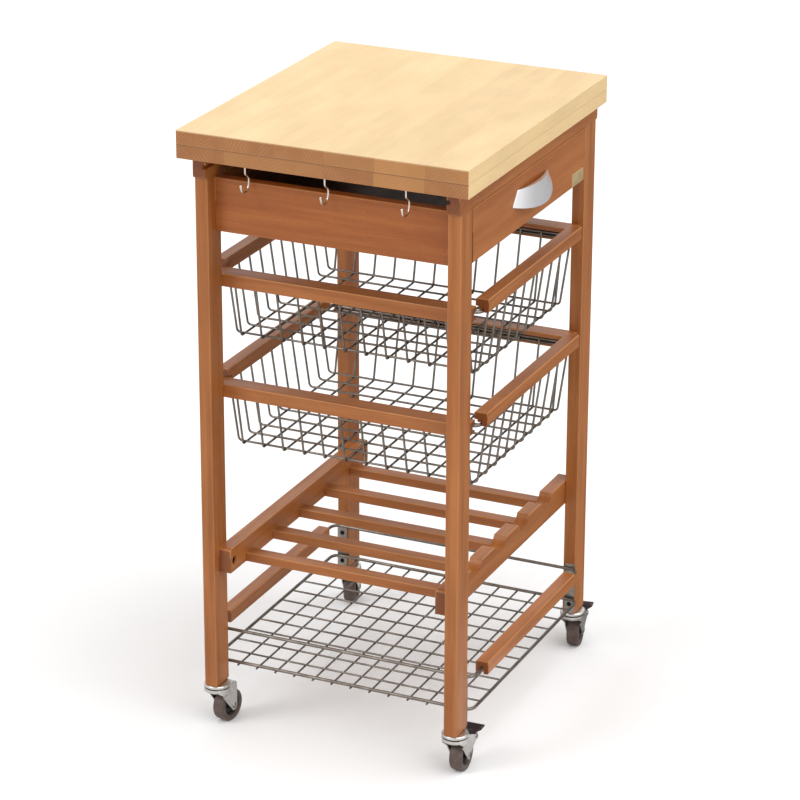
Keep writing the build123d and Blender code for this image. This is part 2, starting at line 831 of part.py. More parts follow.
def hinge_flap(y, direction):
    """The rest of a plate, beyond the barrel, along the whole hinge."""
    near = hinge_z + direction * (hinge_knuckle / 2 + hinge_clear)
    far = hinge_z + direction * hinge_plate_height
    block(
        (top_far_edge - hinge_plate, top_far_edge),
        (y - hinge_length / 2, y + hinge_length / 2),
        tuple(sorted((near, far))),
    )


# Hinges: the lower half holds the pin, the upper half turns on it
with BuildPart() as hinge_lower:
    for y in hinge_places:
        for end in (-1, 1):
            y_range = side(end, hinge_middle / 2 + hinge_end_gap, hinge_length / 2)
            knuckle(y + y_range[0], y + y_range[1], -1, hinge_pin / 2)
        hinge_flap(y, -1)
        with BuildSketch(Plane(origin=(hinge_x, y - hinge_length / 2, hinge_z), z_dir=(0, 1, 0))):
            Circle(hinge_pin / 2)
        extrude(amount=hinge_length)
save(hinge_lower.part, "hinge_lower")

with BuildPart() as hinge_upper:
    for y in hinge_places:
        knuckle(y - hinge_middle / 2, y + hinge_middle / 2, 1, hinge_pin / 2 + fit)
        hinge_flap(y, 1)
save(hinge_upper.part, "hinge_upper")

# Cup hooks screwed up into the lower leaf
hook_x = top_near_edge + hook_from_edge
hook_low = leaf_bottom - hook_drop + hook_wire / 2
hook_points = [
    (hook_x, leaf_bottom + hook_screw),
    (hook_x, leaf_bottom - 0.36 * hook_drop),
    (hook_x + hook_bulge, leaf_bottom - 0.55 * hook_drop),
    (hook_x + 0.7 * hook_bulge, leaf_bottom - 0.9 * hook_drop),
    (hook_x, hook_low),
    (hook_x - hook_reach, leaf_bottom - 0.92 * hook_drop),
    (hook_x - 1.2 * hook_reach, leaf_bottom - 0.72 * hook_drop),
]
with BuildPart() as hooks:
    for y in hook_places:
        add(bent_wire(plane_xz(y), hook_points, hook_bend, hook_wire / 2))
save(hooks.part, "hooks")

# Castors
# Built facing +X about the swivel axis, then turned and set under each leg.
cheek_inner = wheel_width / 2 + fork_gap
cheek_outer = cheek_inner + fork_wall
race_low = castor_height - race_plate
crown_top = race_low - race_gap
crown_low = crown_top - crown_height
pin_low = crown_low - fit
collar = king_pin / 2 + king_pin_collar

with BuildPart() as stem:
    with BuildSketch(Plane.XZ):
        with BuildLine():
            Polyline(
                (0, castor_height + stem_length), (stem_size / 2, castor_height + stem_length),
                (stem_size / 2, castor_height), (race_radius - race_edge, castor_height),
                (race_radius, castor_height - race_edge), (race_radius, race_low),
                (collar, race_low), (collar, crown_top + fit),
                (king_pin / 2, crown_top + fit), (king_pin / 2, pin_low),
                (collar, pin_low), (collar, pin_low - king_pin_head),
                (0, pin_low - king_pin_head), close=True,
            )
        make_face()
    revolve(axis=Axis.Z)

with BuildPart() as stems:
    for sx, sy in corners.values():
        add(stem.part.moved(Location((sx * leg_cx, sy * leg_cy, 0))))
save(stems.part, "castor_stems")


def fork_outline(braked):
    """Side view of a fork cheek, from the crown back and down to the axle."""
    boss = axle_size / 2 + fork_boss_wall
    ear = brake_rivet / 2 + fork_ear_wall
    throat = (fork_throat_x, crown_low - fork_throat_drop)
    lip = (-fork_front, crown_low)
    boss_front = (castor_trail - boss * cos(radians(25)), wheel_radius - boss * sin(radians(25)))
    with BuildLine() as outline:
        if braked:
            Polyline(
                (-fork_front, crown_top), (fork_front * 0.75, crown_top),
                (brake_pivot_x - ear * sin(radians(30)), brake_pivot_z + ear * cos(radians(30))),
                (brake_pivot_x, brake_pivot_z),
                (castor_trail + boss * cos(radians(25)), wheel_radius - boss * sin(radians(25))),
                (castor_trail, wheel_radius), boss_front, throat, lip, close=True,
            )
        else:
            back = castor_trail + boss
            Polyline(
                (-fork_front, crown_top), (back - fork_shoulder, crown_top),
                (back, crown_top - fork_shoulder), (back, wheel_radius),
                (castor_trail, wheel_radius), boss_front, throat, lip, close=True,
            )
    make_face(outline.edges())
    with Locations((castor_trail, wheel_radius)):
        Circle(boss)
    if braked:
        with Locations((brake_pivot_x, brake_pivot_z)):
            Circle(ear)


def rivet(x, z, size):
    """A rivet across the fork, headed on both sides."""
    with BuildSketch(plane_xz(cheek_outer)) as shank:
        with Locations((x, z)):
            Circle(size / 2)
    extrude(shank.sketch, amount=2 * cheek_outer)
    for end in (-1, 1):
        with BuildSketch(Plane(origin=(x, end * cheek_outer, z), z_dir=(0, end, 0))) as head:
            Circle(size / 2 + (rivet_head - axle_size) / 2)
        extrude(head.sketch, amount=rivet_head_height, taper=rivet_taper)


def build_fork(braked):
    """Pressed fork: a round crown with two cheeks, and the rivets through them."""
    with BuildPart() as fork:
        for end in (-1, 1):
            with BuildSketch(plane_xz(end * cheek_outer)):
                fork_outline(braked)
            extrude(amount=end * fork_wall)
        with BuildSketch(Plane.XY.offset(crown_top)):
            Circle(race_radius)
            with Locations((castor_trail / 2, 0)):
                Rectangle(castor_trail, 2 * cheek_outer)
        extrude(amount=-fork_wall)
        with BuildSketch(Plane.XY.offset(crown_top)):
            Circle(race_radius)
        extrude(amount=-crown_height, taper=crown_taper)
        with BuildSketch(Plane.XY.offset(crown_top)):
            Circle(king_pin / 2 + fit)
        extrude(amount=-crown_height, mode=Mode.SUBTRACT)
        for end in (-1, 1):
            holes = [(castor_trail, wheel_radius, axle_size)]
            if braked:
                holes.append((brake_pivot_x, brake_pivot_z, brake_rivet))
            for x, z, size in holes:
                with BuildSketch(plane_xz(end * cheek_outer)):
                    with Locations((x, z)):
                        Circle(size / 2)
                extrude(amount=end * fork_wall, mode=Mode.SUBTRACT)
    with BuildPart() as rivets:
        rivet(castor_trail, wheel_radius, axle_size)
        if braked:
            rivet(brake_pivot_x, brake_pivot_z, brake_rivet)
    return [fork.part, *rivets.part.solids()]


with BuildPart() as hub:
    with BuildSketch(plane_xz(hub_width / 2)):
        with Locations((castor_trail, wheel_radius)):
            Circle(hub_radius)
    extrude(amount=hub_width)
    with BuildSketch(plane_xz(wheel_width / 2)):
        with Locations((castor_trail, wheel_radius)):
            Circle(hub_boss_radius)
    extrude(amount=wheel_width)
    with BuildSketch(plane_xz(wheel_width / 2)):
        with Locations((castor_trail, wheel_radius)):
            Circle(axle_size / 2 + fit)
    extrude(amount=wheel_width, mode=Mode.SUBTRACT)

with BuildPart() as tyre:
    with BuildSketch(plane_xz(wheel_width / 2)):
        with Locations((castor_trail, wheel_radius)):
            Circle(wheel_radius)
    extrude(amount=wheel_width)
    fillet(tyre.edges().filter_by(GeomType.CIRCLE), radius=tyre_edge)
    with BuildSketch(plane_xz(wheel_width / 2)):
        with Locations((castor_trail, wheel_radius)):
            Circle(hub_radius)
    extrude(amount=wheel_width, mode=Mode.SUBTRACT)

# Brake pedal: a barrel on the rear rivet, a shoe towards the tread and a flared paddle on top
barrel_half = cheek_inner - brake_side_gap
neck_top = brake_pivot_z + pedal_neck_rise
paddle_low = pedal_top - pedal_slab
paddle_place = (brake_pivot_x + pedal_set_back, 0)
nose_angle = radians(brake_nose_angle)
nose = (cos(nose_angle), sin(nose_angle))
nose_tip = (
    brake_pivot_x + (brake_nose - shoe_tip) * nose[0],
    brake_pivot_z + (brake_nose - shoe_tip) * nose[1],
)
with BuildPart() as pedal:
    with BuildSketch(plane_xz(barrel_half)):
        with Locations((brake_pivot_x, brake_pivot_z)):
            Circle(brake_barrel / 2)
        with BuildLine():
            Polyline(
                (brake_pivot_x - brake_barrel / 2, brake_pivot_z),
                (brake_pivot_x + brake_barrel / 2, brake_pivot_z),
                (brake_pivot_x + pedal_neck_length / 2, neck_top),
                (brake_pivot_x - pedal_neck_length / 2, neck_top),
                close=True,
            )
        make_face()
        with Locations(nose_tip):
            Circle(shoe_tip)
        with BuildLine():
            Polyline(
                (brake_pivot_x + shoe_root * nose[1], brake_pivot_z - shoe_root * nose[0]),
                (nose_tip[0] + shoe_tip * nose[1], nose_tip[1] - shoe_tip * nose[0]),
                (nose_tip[0] - shoe_tip * nose[1], nose_tip[1] + shoe_tip * nose[0]),
                (brake_pivot_x - shoe_root * nose[1], brake_pivot_z + shoe_root * nose[0]),
                close=True,
            )
        make_face()
    extrude(amount=2 * barrel_half)
    with BuildSketch(Plane.XY.offset(neck_top)):
        with Locations((brake_pivot_x, 0)):
            Rectangle(pedal_neck_length, 2 * pedal_neck_half_width)
    with BuildSketch(Plane.XY.offset(paddle_low)):
        with Locations(paddle_place):
            Rectangle(pedal_length, 2 * pedal_half_width)
    loft(ruled=True)
    with BuildSketch(Plane.XY.offset(paddle_low)):
        with Locations(paddle_place):
            RectangleRounded(pedal_length, 2 * pedal_half_width, pedal_corner)
    extrude(amount=pedal_slab)
    with BuildSketch(plane_xz(barrel_half)):
        with Locations((brake_pivot_x, brake_pivot_z)):
            Circle(brake_rivet / 2 + fit)
    extrude(amount=2 * barrel_half, mode=Mode.SUBTRACT)

forks = {True: build_fork(True), False: build_fork(False)}
for name, (sx, sy) in corners.items():
    place = Location((sx * leg_cx, sy * leg_cy, 0), (0, 0, castor_angles[name]))
    braked = castor_braked[name]
    save(Compound([piece.moved(place) for piece in forks[braked]]), f"castor_fork_{name}")
    save(hub.part.moved(place), f"castor_hub_{name}")
    save(tyre.part.moved(place), f"castor_tyre_{name}")
    if braked:
        save(pedal.part.moved(place), f"brake_pedal_{name}")

# The origin is the bottom centre of the whole trolley's box, castors as they stand
boxes = [piece.bounding_box() for piece in finished.values()]
middle_x = (min(box.min.X for box in boxes) + max(box.max.X for box in boxes)) / 2
middle_y = (min(box.min.Y for box in boxes) + max(box.max.Y for box in boxes)) / 2
to_origin = Location((-middle_x, -middle_y, -min(box.min.Z for box in boxes)))
for name, piece in finished.items():
    placed = piece.moved(to_origin)
    placed.label = name
    export_step(placed, f"parts/{name}.step")
print("origin moved by", to_origin.position)
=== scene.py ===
# Kitchen trolley: the finish of every piece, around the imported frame.
# Metres, +Z up, drawer front facing -Y, hooks on the -X side, the floor at Z = 0.
import json
import random
from math import cos, pi, radians, sin, sqrt, tau

import bmesh
import bpy
from mathutils import Matrix, Vector


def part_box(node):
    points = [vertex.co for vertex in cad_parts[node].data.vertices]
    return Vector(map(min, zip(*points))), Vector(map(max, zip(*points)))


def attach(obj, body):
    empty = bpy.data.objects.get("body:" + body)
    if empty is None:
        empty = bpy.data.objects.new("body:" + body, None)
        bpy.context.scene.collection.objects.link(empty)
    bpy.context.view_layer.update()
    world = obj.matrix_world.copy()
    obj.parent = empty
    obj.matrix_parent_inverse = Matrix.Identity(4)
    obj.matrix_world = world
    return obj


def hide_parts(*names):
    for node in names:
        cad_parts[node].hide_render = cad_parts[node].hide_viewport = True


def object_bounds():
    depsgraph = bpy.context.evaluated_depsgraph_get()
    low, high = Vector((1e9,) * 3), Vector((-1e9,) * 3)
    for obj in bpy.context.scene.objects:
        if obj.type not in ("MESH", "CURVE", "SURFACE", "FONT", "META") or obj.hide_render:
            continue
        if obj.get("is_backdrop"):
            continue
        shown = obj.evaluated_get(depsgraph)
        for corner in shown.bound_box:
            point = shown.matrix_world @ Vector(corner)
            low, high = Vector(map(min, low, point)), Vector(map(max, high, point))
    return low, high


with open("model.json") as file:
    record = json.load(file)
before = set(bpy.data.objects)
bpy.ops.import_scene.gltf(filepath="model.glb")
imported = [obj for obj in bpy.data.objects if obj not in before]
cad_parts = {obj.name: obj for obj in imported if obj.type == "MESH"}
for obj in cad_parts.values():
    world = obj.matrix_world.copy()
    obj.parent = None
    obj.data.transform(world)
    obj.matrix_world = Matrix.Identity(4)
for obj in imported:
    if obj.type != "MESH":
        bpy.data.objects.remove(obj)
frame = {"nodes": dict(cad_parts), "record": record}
cad_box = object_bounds()
bodies = frame["record"]["behaviour"]["bodies"]
node_body = {node: body for body, nodes in bodies.items() for node in nodes}

# Camera
# The photograph looks down on the hook side from the left of the drawer front,
# with a long lens. Its place is given from a point half way up between the legs.
scene = bpy.context.scene
scene.view_settings.view_transform = "Standard"
image_width = 800
focal_pixels = 3301.3
azimuth, elevation, roll = radians(-65.576), radians(21.580), radians(0.193)
distance = 4.5044
aim = Vector((-0.01423, 0.00094, 0.430))
aside, above = -0.00006, 0.00454

back = Vector((sin(azimuth) * cos(elevation), -cos(azimuth) * cos(elevation), sin(elevation)))
level = Vector((cos(azimuth), sin(azimuth), 0))
upright = back.cross(level)
right = cos(roll) * level + sin(roll) * upright
up = back.cross(right)
camera_data = bpy.data.cameras.new("photo_camera")
camera_data.sensor_width = 36
camera_data.lens = focal_pixels * camera_data.sensor_width / image_width
camera = bpy.data.objects.new("photo_camera", camera_data)
place = aim + aside * right + above * up + distance * back
camera.matrix_world = Matrix.Translation(place) @ Matrix((right, up, back)).transposed().to_4x4()
scene.collection.objects.link(camera)
scene.camera = camera

# Studio
# A pale floor under an even white sky, with one soft sun on the drawer front and a weaker one
# on the hook side. Metal and varnish mirror a white room that is dark on its far right.
floor_half = 15
suns = {
    "front_sun": {"to_light": (-0.2, -1.0, 1.35), "strength": 1.2, "spread": 60},
    "side_sun": {"to_light": (-1.0, 0.75, 1.05), "strength": 0.7, "spread": 22},
}
sky_strength = 0.71
dark_side = Vector((0.87, -0.40, -0.28))
dark_level = 0.22
floor_tone, floor_tone_seen = 0.8, 1.04
trolley_middle = (0, 0, 0.43)


def tree_of(block):
    """An empty node tree of a material or world."""
    block.use_nodes = True
    block.node_tree.nodes.clear()
    return block.node_tree


def add(tree, kind, values=(), **settings):
    """Put a node in a tree, with settings by name and values for its inputs."""
    node = tree.nodes.new(kind)
    for key, value in settings.items():
        setattr(node, key, value)
    for key, value in dict(values).items():
        if isinstance(value, bpy.types.NodeSocket):
            tree.links.new(value, node.inputs[key])
        else:
            node.inputs[key].default_value = value
    return node


def maths(tree, operation, first, second=0.0, third=0.0):
    """One step of arithmetic on values."""
    return add(tree, "ShaderNodeMath", {0: first, 1: second, 2: third}, operation=operation).outputs[0]


def mirrored(tree, direction):
    """How bright the room looks from the trolley in a polished surface."""
    facing = add(tree, "ShaderNodeVectorMath", {0: direction, 1: dark_side}, operation="DOT_PRODUCT")
    return add(
        tree, "ShaderNodeMapRange",
        {
            "Value": facing.outputs["Value"], "From Min": 0.5, "From Max": 0.93,
            "To Min": 1.0, "To Max": dark_level,
        },
        interpolation_type="SMOOTHSTEP",
    ).outputs[0]


for name, sun in suns.items():
    lamp = bpy.data.lights.new(name, "SUN")
    lamp.energy = sun["strength"]
    lamp.angle = radians(sun["spread"])
    lamp_object = bpy.data.objects.new(name, lamp)
    lamp_object.rotation_mode = "QUATERNION"
    lamp_object.rotation_quaternion = Vector(sun["to_light"]).to_track_quat("Z", "Y")
    scene.collection.objects.link(lamp_object)

world = bpy.data.worlds.new("studio")
scene.world = world
tree = tree_of(world)
path = add(tree, "ShaderNodeLightPath").outputs
seen = maths(tree, "MAXIMUM", path["Is Camera Ray"], path["Is Transmission Ray"])
strength = add(tree, "ShaderNodeMapRange", {"Value": seen, "To Min": sky_strength, "To Max": 1.0}).outputs[0]
room = mirrored(tree, add(tree, "ShaderNodeTexCoord").outputs["Generated"])
change = maths(tree, "SUBTRACT", room, strength)
strength = maths(tree, "MULTIPLY_ADD", path["Is Glossy Ray"], change, strength)
sky = add(tree, "ShaderNodeBackground", {"Color": (1, 1, 1, 1), "Strength": strength})
add(tree, "ShaderNodeOutputWorld", {"Surface": sky.outputs[0]})

floor_mesh = bpy.data.meshes.new("floor")
shape = bmesh.new()
bmesh.ops.create_grid(shape, x_segments=1, y_segments=1, size=floor_half)
shape.to_mesh(floor_mesh)
shape.free()
floor = bpy.data.objects.new("floor", floor_mesh)
scene.collection.objects.link(floor)
floor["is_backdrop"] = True
paper = bpy.data.materials.new("floor_paper")
tree = tree_of(paper)
path = add(tree, "ShaderNodeLightPath").outputs
tone = add(
    tree, "ShaderNodeMapRange",
    {"Value": path["Is Camera Ray"], "To Min": floor_tone, "To Max": floor_tone_seen},
).outputs[0]
spot = add(tree, "ShaderNodeNewGeometry").outputs["Position"]
spot = add(tree, "ShaderNodeVectorMath", {0: spot, 1: trolley_middle}, operation="SUBTRACT").outputs[0]
spot = add(tree, "ShaderNodeVectorMath", {0: spot}, operation="NORMALIZE").outputs[0]
dimming = maths(tree, "MULTIPLY", path["Is Glossy Ray"], maths(tree, "SUBTRACT", mirrored(tree, spot), 1.0))
tone = maths(tree, "MULTIPLY_ADD", dimming, tone, tone)
matt = add(tree, "ShaderNodeBsdfDiffuse", {"Color": tone})
add(tree, "ShaderNodeOutputMaterial", {"Surface": matt.outputs[0]})
floor_mesh.materials.append(paper)

# Legs
# Four straight-grained beech legs, stained a warm brown and sprayed with satin varnish.
# The grain runs up each leg; soft streaks and short dark ray flecks show through the stain.
stain_light = (0.46, 0.165, 0.043)
stain_dark = (0.34, 0.108, 0.024)
stain_fleck = (0.15, 0.04, 0.010)
stain_end = (0.22, 0.065, 0.017)
# A lighter colour for the painted highlight along the edges of the wood.
edge_highlight_colour = (0.66, 0.31, 0.11)
draw = random.Random(11)


def node_group(name, inputs, outputs):
    """A shader node group with named inputs, given with their defaults, and named outputs."""
    kinds = {float: "NodeSocketFloat", tuple: "NodeSocketColor", Vector: "NodeSocketVector"}
    group = bpy.data.node_groups.new(name, "ShaderNodeTree")
    for label, default in inputs.items():
        socket = group.interface.new_socket(label, in_out="INPUT", socket_type=kinds[type(default)])
        socket.default_value = (*default, 1) if type(default) is tuple else default
    for label, kind in outputs.items():
        group.interface.new_socket(label, in_out="OUTPUT", socket_type=kinds[kind])
    inlet = group.nodes.new("NodeGroupInput")
    outlet = group.nodes.new("NodeGroupOutput")
    return group, inlet.outputs, outlet.inputs


def stretched(tree, vector, *factors):
    """The same coordinates, scaled by one factor along each axis."""
    return add(tree, "ShaderNodeVectorMath", {0: vector, 1: factors}, operation="MULTIPLY").outputs[0]


def noise(tree, vector, scale, detail=2.0, roughness=0.5):
    """Soft noise from 0 to 1."""
    return add(
        tree, "ShaderNodeTexNoise",
        {"Vector": vector, "Scale": scale, "Detail": detail, "Roughness": roughness},
    ).outputs[0]


def ramp(tree, value, low, high, to_low=0.0, to_high=1.0):
    """Carry a stretch of values smoothly to another stretch, and hold it at both ends."""
    return add(
        tree, "ShaderNodeMapRange",
        {"Value": value, "From Min": low, "From Max": high, "To Min": to_low, "To Max": to_high},
        interpolation_type="SMOOTHSTEP",
    ).outputs[0]


def blend(tree, factor, first, second, mode="MIX"):
    """Mix two colours."""
    mixer = add(tree, "ShaderNodeMix", data_type="RGBA", blend_type=mode)
    for key, value in ((0, factor), (6, first), (7, second)):
        if isinstance(value, bpy.types.NodeSocket):
            tree.links.new(value, mixer.inputs[key])
        else:
            mixer.inputs[key].default_value = value
    return mixer.outputs[2]


# Sawn beech: the grain runs along X, rings go round the pith, and the ends show end grain.
# Along the edges of a piece, most of all along the upper ones, the Edge colour is mixed in as painted light:
# a light Edge colour is a painted highlight where eased edges catch light from above, and a dark one is
# painted shade.
beech, given, made = node_group(
    "sawn_beech",
    {
        "Vector": Vector(), "Half Size": Vector((1, 1, 1)), "Pith": Vector((0, 0.03, -0.05)),
        "Shift": Vector(), "Light": stain_light, "Dark": stain_dark, "Fleck": stain_fleck, "End": stain_end,
        "Edge": edge_highlight_colour, "Ring Gap": 0.003, "Rings": 0.25, "Streaks": 1.0, "Flecks": 0.5, "Tone": 1.0,
        "Edge Wear": 0.5, "End Rings": 0.45,
    },
    {"Color": tuple, "Height": float, "Roughness": float},
)
local = given["Vector"]
shifted = add(beech, "ShaderNodeVectorMath", {0: local, 1: given["Shift"]}, operation="ADD").outputs[0]
wander = noise(beech, stretched(beech, shifted, 3, 9, 9), 1.0)
from_pith = add(beech, "ShaderNodeVectorMath", {0: local, 1: given["Pith"]}, operation="SUBTRACT").outputs[0]
flat = stretched(beech, from_pith, 0.0, 1.0, 1.0)
radius = add(beech, "ShaderNodeVectorMath", {0: flat}, operation="LENGTH").outputs["Value"]
bowed = maths(beech, "MULTIPLY_ADD", wander, 0.014, radius)
waver = noise(beech, stretched(beech, shifted, 12, 90, 90), 1.0, 3)
ring_place = maths(beech, "DIVIDE", maths(beech, "MULTIPLY_ADD", waver, 0.0012, bowed), given["Ring Gap"])
ring_share = maths(beech, "FRACT", ring_place)
ring = maths(beech, "MULTIPLY", ramp(beech, ring_share, 0.35, 0.9), ramp(beech, ring_share, 1.0, 0.93))
streak = ramp(beech, noise(beech, stretched(beech, shifted, 4, 70, 70), 1.0, 5, 0.6), 0.32, 0.68)
line = noise(beech, stretched(beech, shifted, 30, 1500, 1500), 1.0, 3, 0.6)
cloud = noise(beech, stretched(beech, shifted, 9, 16, 16), 1.0, 3)
fleck = ramp(beech, noise(beech, stretched(beech, shifted, 330, 2100, 2100), 1.0, 1), 0.66, 0.76)
streak = maths(beech, "MULTIPLY", streak, given["Streaks"])
body_colour = blend(beech, streak, given["Light"], given["Dark"])
body_colour = blend(beech, maths(beech, "MULTIPLY", ring, given["Rings"]), body_colour, given["Dark"])
body_colour = blend(beech, maths(beech, "MULTIPLY", fleck, given["Flecks"]), body_colour, given["Fleck"])
from_middle = add(beech, "ShaderNodeVectorMath", {0: local}, operation="ABSOLUTE").outputs[0]
margin = add(
    beech, "ShaderNodeVectorMath", {0: given["Half Size"], 1: from_middle}, operation="SUBTRACT",
).outputs[0]
margin = add(beech, "ShaderNodeSeparateXYZ", {0: margin}).outputs
end_face = ramp(beech, margin["X"], 0.0012, 0.0003)
patchy = ramp(beech, noise(beech, stretched(beech, shifted, 40, 60, 60), 1.0, 3, 0.6), 0.38, 0.62)
end_ring = maths(beech, "MULTIPLY", maths(beech, "MULTIPLY", ring, patchy), given["End Rings"])
end_colour = blend(beech, end_ring, given["End"], given["Fleck"])
colour = blend(beech, end_face, body_colour, end_colour)
nearer = maths(beech, "MINIMUM", margin["X"], margin["Y"])
farther = maths(beech, "MAXIMUM", margin["X"], margin["Y"])
to_edge = maths(beech, "MAXIMUM", nearer, maths(beech, "MINIMUM", farther, margin["Z"]))
# Painted light along the edges: the upper edges get most of it, as light from above would catch them.
upper = add(beech, "ShaderNodeSeparateXYZ", {0: local}).outputs["Z"]
upper = maths(beech, "MULTIPLY_ADD", ramp(beech, upper, 0.003, 0.006), 0.85, 0.15)
painted_edge_shading = maths(beech, "MULTIPLY", ramp(beech, to_edge, 0.0019, 0.0006), upper)
painted_edge_shading = maths(beech, "MULTIPLY", painted_edge_shading, ramp(beech, wander, 0.2, 0.6, 0.75, 1.0))
colour = blend(beech, maths(beech, "MULTIPLY", painted_edge_shading, given["Edge Wear"]), colour, given["Edge"])
line_shade = ramp(beech, line, 0.2, 0.8, 1.05, 0.95)
cloud_shade = ramp(beech, cloud, 0.25, 0.75, 1.06, 0.94)
shade = maths(beech, "MULTIPLY", maths(beech, "MULTIPLY", line_shade, cloud_shade), given["Tone"])
colour = add(beech, "ShaderNodeVectorMath", {0: colour, "Scale": shade}, operation="SCALE").outputs[0]
beech.links.new(colour, made["Color"])
height = maths(beech, "MULTIPLY_ADD", fleck, -0.5, line)
beech.links.new(maths(beech, "MULTIPLY_ADD", ring, -0.3, height), made["Height"])
beech.links.new(ramp(beech, cloud, 0.2, 0.8, 0.34, 0.46), made["Roughness"])

along_x = (0, 0, 0)
along_y = (0, 0, radians(-90))
along_z = (0, radians(90), 0)


def finish_with(node, material):
    """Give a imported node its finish."""
    slots = frame["nodes"][node].data.materials
    slots.clear()
    slots.append(material)


def wood(name, corners, grain, shine=0.12, **values):
    """A wood material laid on one piece: the grain turned along it and centred on it."""
    low, high = corners
    material = bpy.data.materials.new(name)
    tree = tree_of(material)
    middle = Matrix.Rotation(grain[2], 3, "Z") @ Matrix.Rotation(grain[1], 3, "Y") @ ((low + high) / 2)
    length, width, depth = (high - low) / 2
    reach = {
        along_x: (length, width, depth), along_y: (width, length, depth), along_z: (depth, width, length),
    }[grain]
    place = add(tree, "ShaderNodeTexCoord").outputs["Object"]
    place = add(
        tree, "ShaderNodeMapping", {"Vector": place, "Location": -middle, "Rotation": grain},
    ).outputs[0]
    pith = Vector((0, draw.uniform(-0.05, 0.05), draw.choice((-1, 1)) * draw.uniform(0.03, 0.07)))
    shift = Vector([draw.uniform(0, 40) for _ in range(3)])
    tone = draw.uniform(0.95, 1.05)
    settings = {"Vector": place, "Half Size": Vector(reach), "Pith": pith, "Shift": shift, "Tone": tone}
    settings.update(values)
    grained = add(tree, "ShaderNodeGroup", node_tree=beech)
    for key, value in settings.items():
        if isinstance(value, bpy.types.NodeSocket):
            tree.links.new(value, grained.inputs[key])
        else:
            grained.inputs[key].default_value = (*value, 1) if type(value) is tuple else value
    bump = add(
        tree, "ShaderNodeBump", {"Strength": 0.12, "Distance": 0.0004, "Height": grained.outputs["Height"]},
    )
    surface = add(
        tree, "ShaderNodeBsdfPrincipled",
        {
            "Base Color": grained.outputs["Color"], "Roughness": grained.outputs["Roughness"],
            "Normal": bump.outputs[0], "Specular IOR Level": 0.35,
            "Coat Weight": shine, "Coat Roughness": 0.25,
        },
    )
    add(tree, "ShaderNodeOutputMaterial", {"Surface": surface.outputs[0]})
    return material


def stained(nodes, grain, **values):
    """Stain packed wooden nodes, each with its own run of grain."""
    for node in nodes:
        finish_with(node, wood(f"stained_{node}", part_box(node), grain, **values))


castor_corners = ("front_left", "front_right", "back_left", "back_right")
# The legs get a weaker painted highlight along their edges.
stained([f"leg_{corner}" for corner in castor_corners], along_z, **{"Edge Wear": 0.25})

# Cross rails, aprons and back panel
# The rails are screwed down on the leg tops, and the aprons and the back panel are doweled between
# the legs. All are cut from the same stained beech, with the grain along each piece.
stained(["rail_front", "rail_back", "back_panel"], along_x)
stained(["apron_left", "apron_right"], along_y,
        Light=(0.41, 0.128, 0.027), Dark=(0.32, 0.086, 0.016), Flecks=0.9)

# Drawer
# The front is one stained board. The box behind it is thinner stock, coloured much darker than the front as
# painted shade for the shadow inside the drawer, and slides on two runners fixed to the aprons.
# A much darker colour as painted shade, for pieces that sit in the shadow under the top.
inner_painted_shade = {"shine": 0.0, "Light": (0.15, 0.05, 0.014), "Dark": (0.09, 0.027, 0.007), "Edge Wear": 0.1}
stained(["drawer_front"], along_x, Light=(0.47, 0.165, 0.042), Dark=(0.39, 0.118, 0.025))
stained(["drawer_back", "drawer_bottom"], along_x, **inner_painted_shade)
stained(["drawer_sides", "drawer_runners"], along_y, **inner_painted_shade)

# Drawer pull
# A bow pull of cast zinc with a satin nickel skin: a thin wall, wider and deeper towards its
# lower edge, which dips in the middle, and a broad lip turned in along its top.
pull_half_top, pull_half_bottom = 50.3, 66.0
pull_bulge_top, pull_bulge_bottom = 11.8, 16.5
pull_height, pull_dip = 19.6, 9.9
pull_wall, pull_lip, pull_round = 1.8, 5.4, 0.55
nickel_bright, nickel_dull = (0.93, 0.93, 0.95), (0.88, 0.88, 0.90)
millimetres = Matrix.Scale(0.001, 4)

# Worked metal: cloudy sheen over fine lines left by rolling, drawing or brushing.
worked, given, made = node_group(
    "worked_metal",
    {
        "Vector": Vector(), "Bright": nickel_bright, "Dull": nickel_dull, "Cloud Scale": 90.0,
        "Line Stretch": Vector((40.0, 40.0, 1200.0)), "Smooth": 0.25, "Rough": 0.4,
    },
    {"Color": tuple, "Height": float, "Roughness": float},
)
cloud = noise(worked, given["Vector"], given["Cloud Scale"], 4, 0.6)
lined = add(
    worked, "ShaderNodeVectorMath", {0: given["Vector"], 1: given["Line Stretch"]}, operation="MULTIPLY",
).outputs[0]
line = noise(worked, lined, 1.0, 3, 0.6)
worked.links.new(blend(worked, ramp(worked, cloud, 0.3, 0.7), given["Bright"], given["Dull"]), made["Color"])
worked.links.new(maths(worked, "MULTIPLY_ADD", cloud, 0.4, line), made["Height"])
mingled = maths(worked, "MULTIPLY_ADD", line, 0.5, maths(worked, "MULTIPLY", cloud, 0.5))
worn = ramp(worked, mingled, 0.3, 0.7)
gap = maths(worked, "SUBTRACT", given["Rough"], given["Smooth"])
worked.links.new(maths(worked, "MULTIPLY_ADD", worn, gap, given["Smooth"]), made["Roughness"])


def textured(name, group, settings, metallic, bump, **surface_values):
    """A material whose colour, roughness and bump all come from one of the groups."""
    material = bpy.data.materials.new(name)
    tree = tree_of(material)
    place = add(tree, "ShaderNodeTexCoord").outputs["Object"]
    grained = add(tree, "ShaderNodeGroup", node_tree=group)
    tree.links.new(place, grained.inputs["Vector"])
    for key, value in settings.items():
        grained.inputs[key].default_value = (*value, 1) if type(value) is tuple else value
    strength, depth = bump
    relief = add(tree, "ShaderNodeBump",
                 {"Strength": strength, "Distance": depth, "Height": grained.outputs["Height"]})
    surface = add(tree, "ShaderNodeBsdfPrincipled", {
        "Base Color": grained.outputs["Color"], "Roughness": grained.outputs["Roughness"],
        "Metallic": metallic, "Normal": relief.outputs[0], **surface_values,
    })
    add(tree, "ShaderNodeOutputMaterial", {"Surface": surface.outputs[0]})
    return material


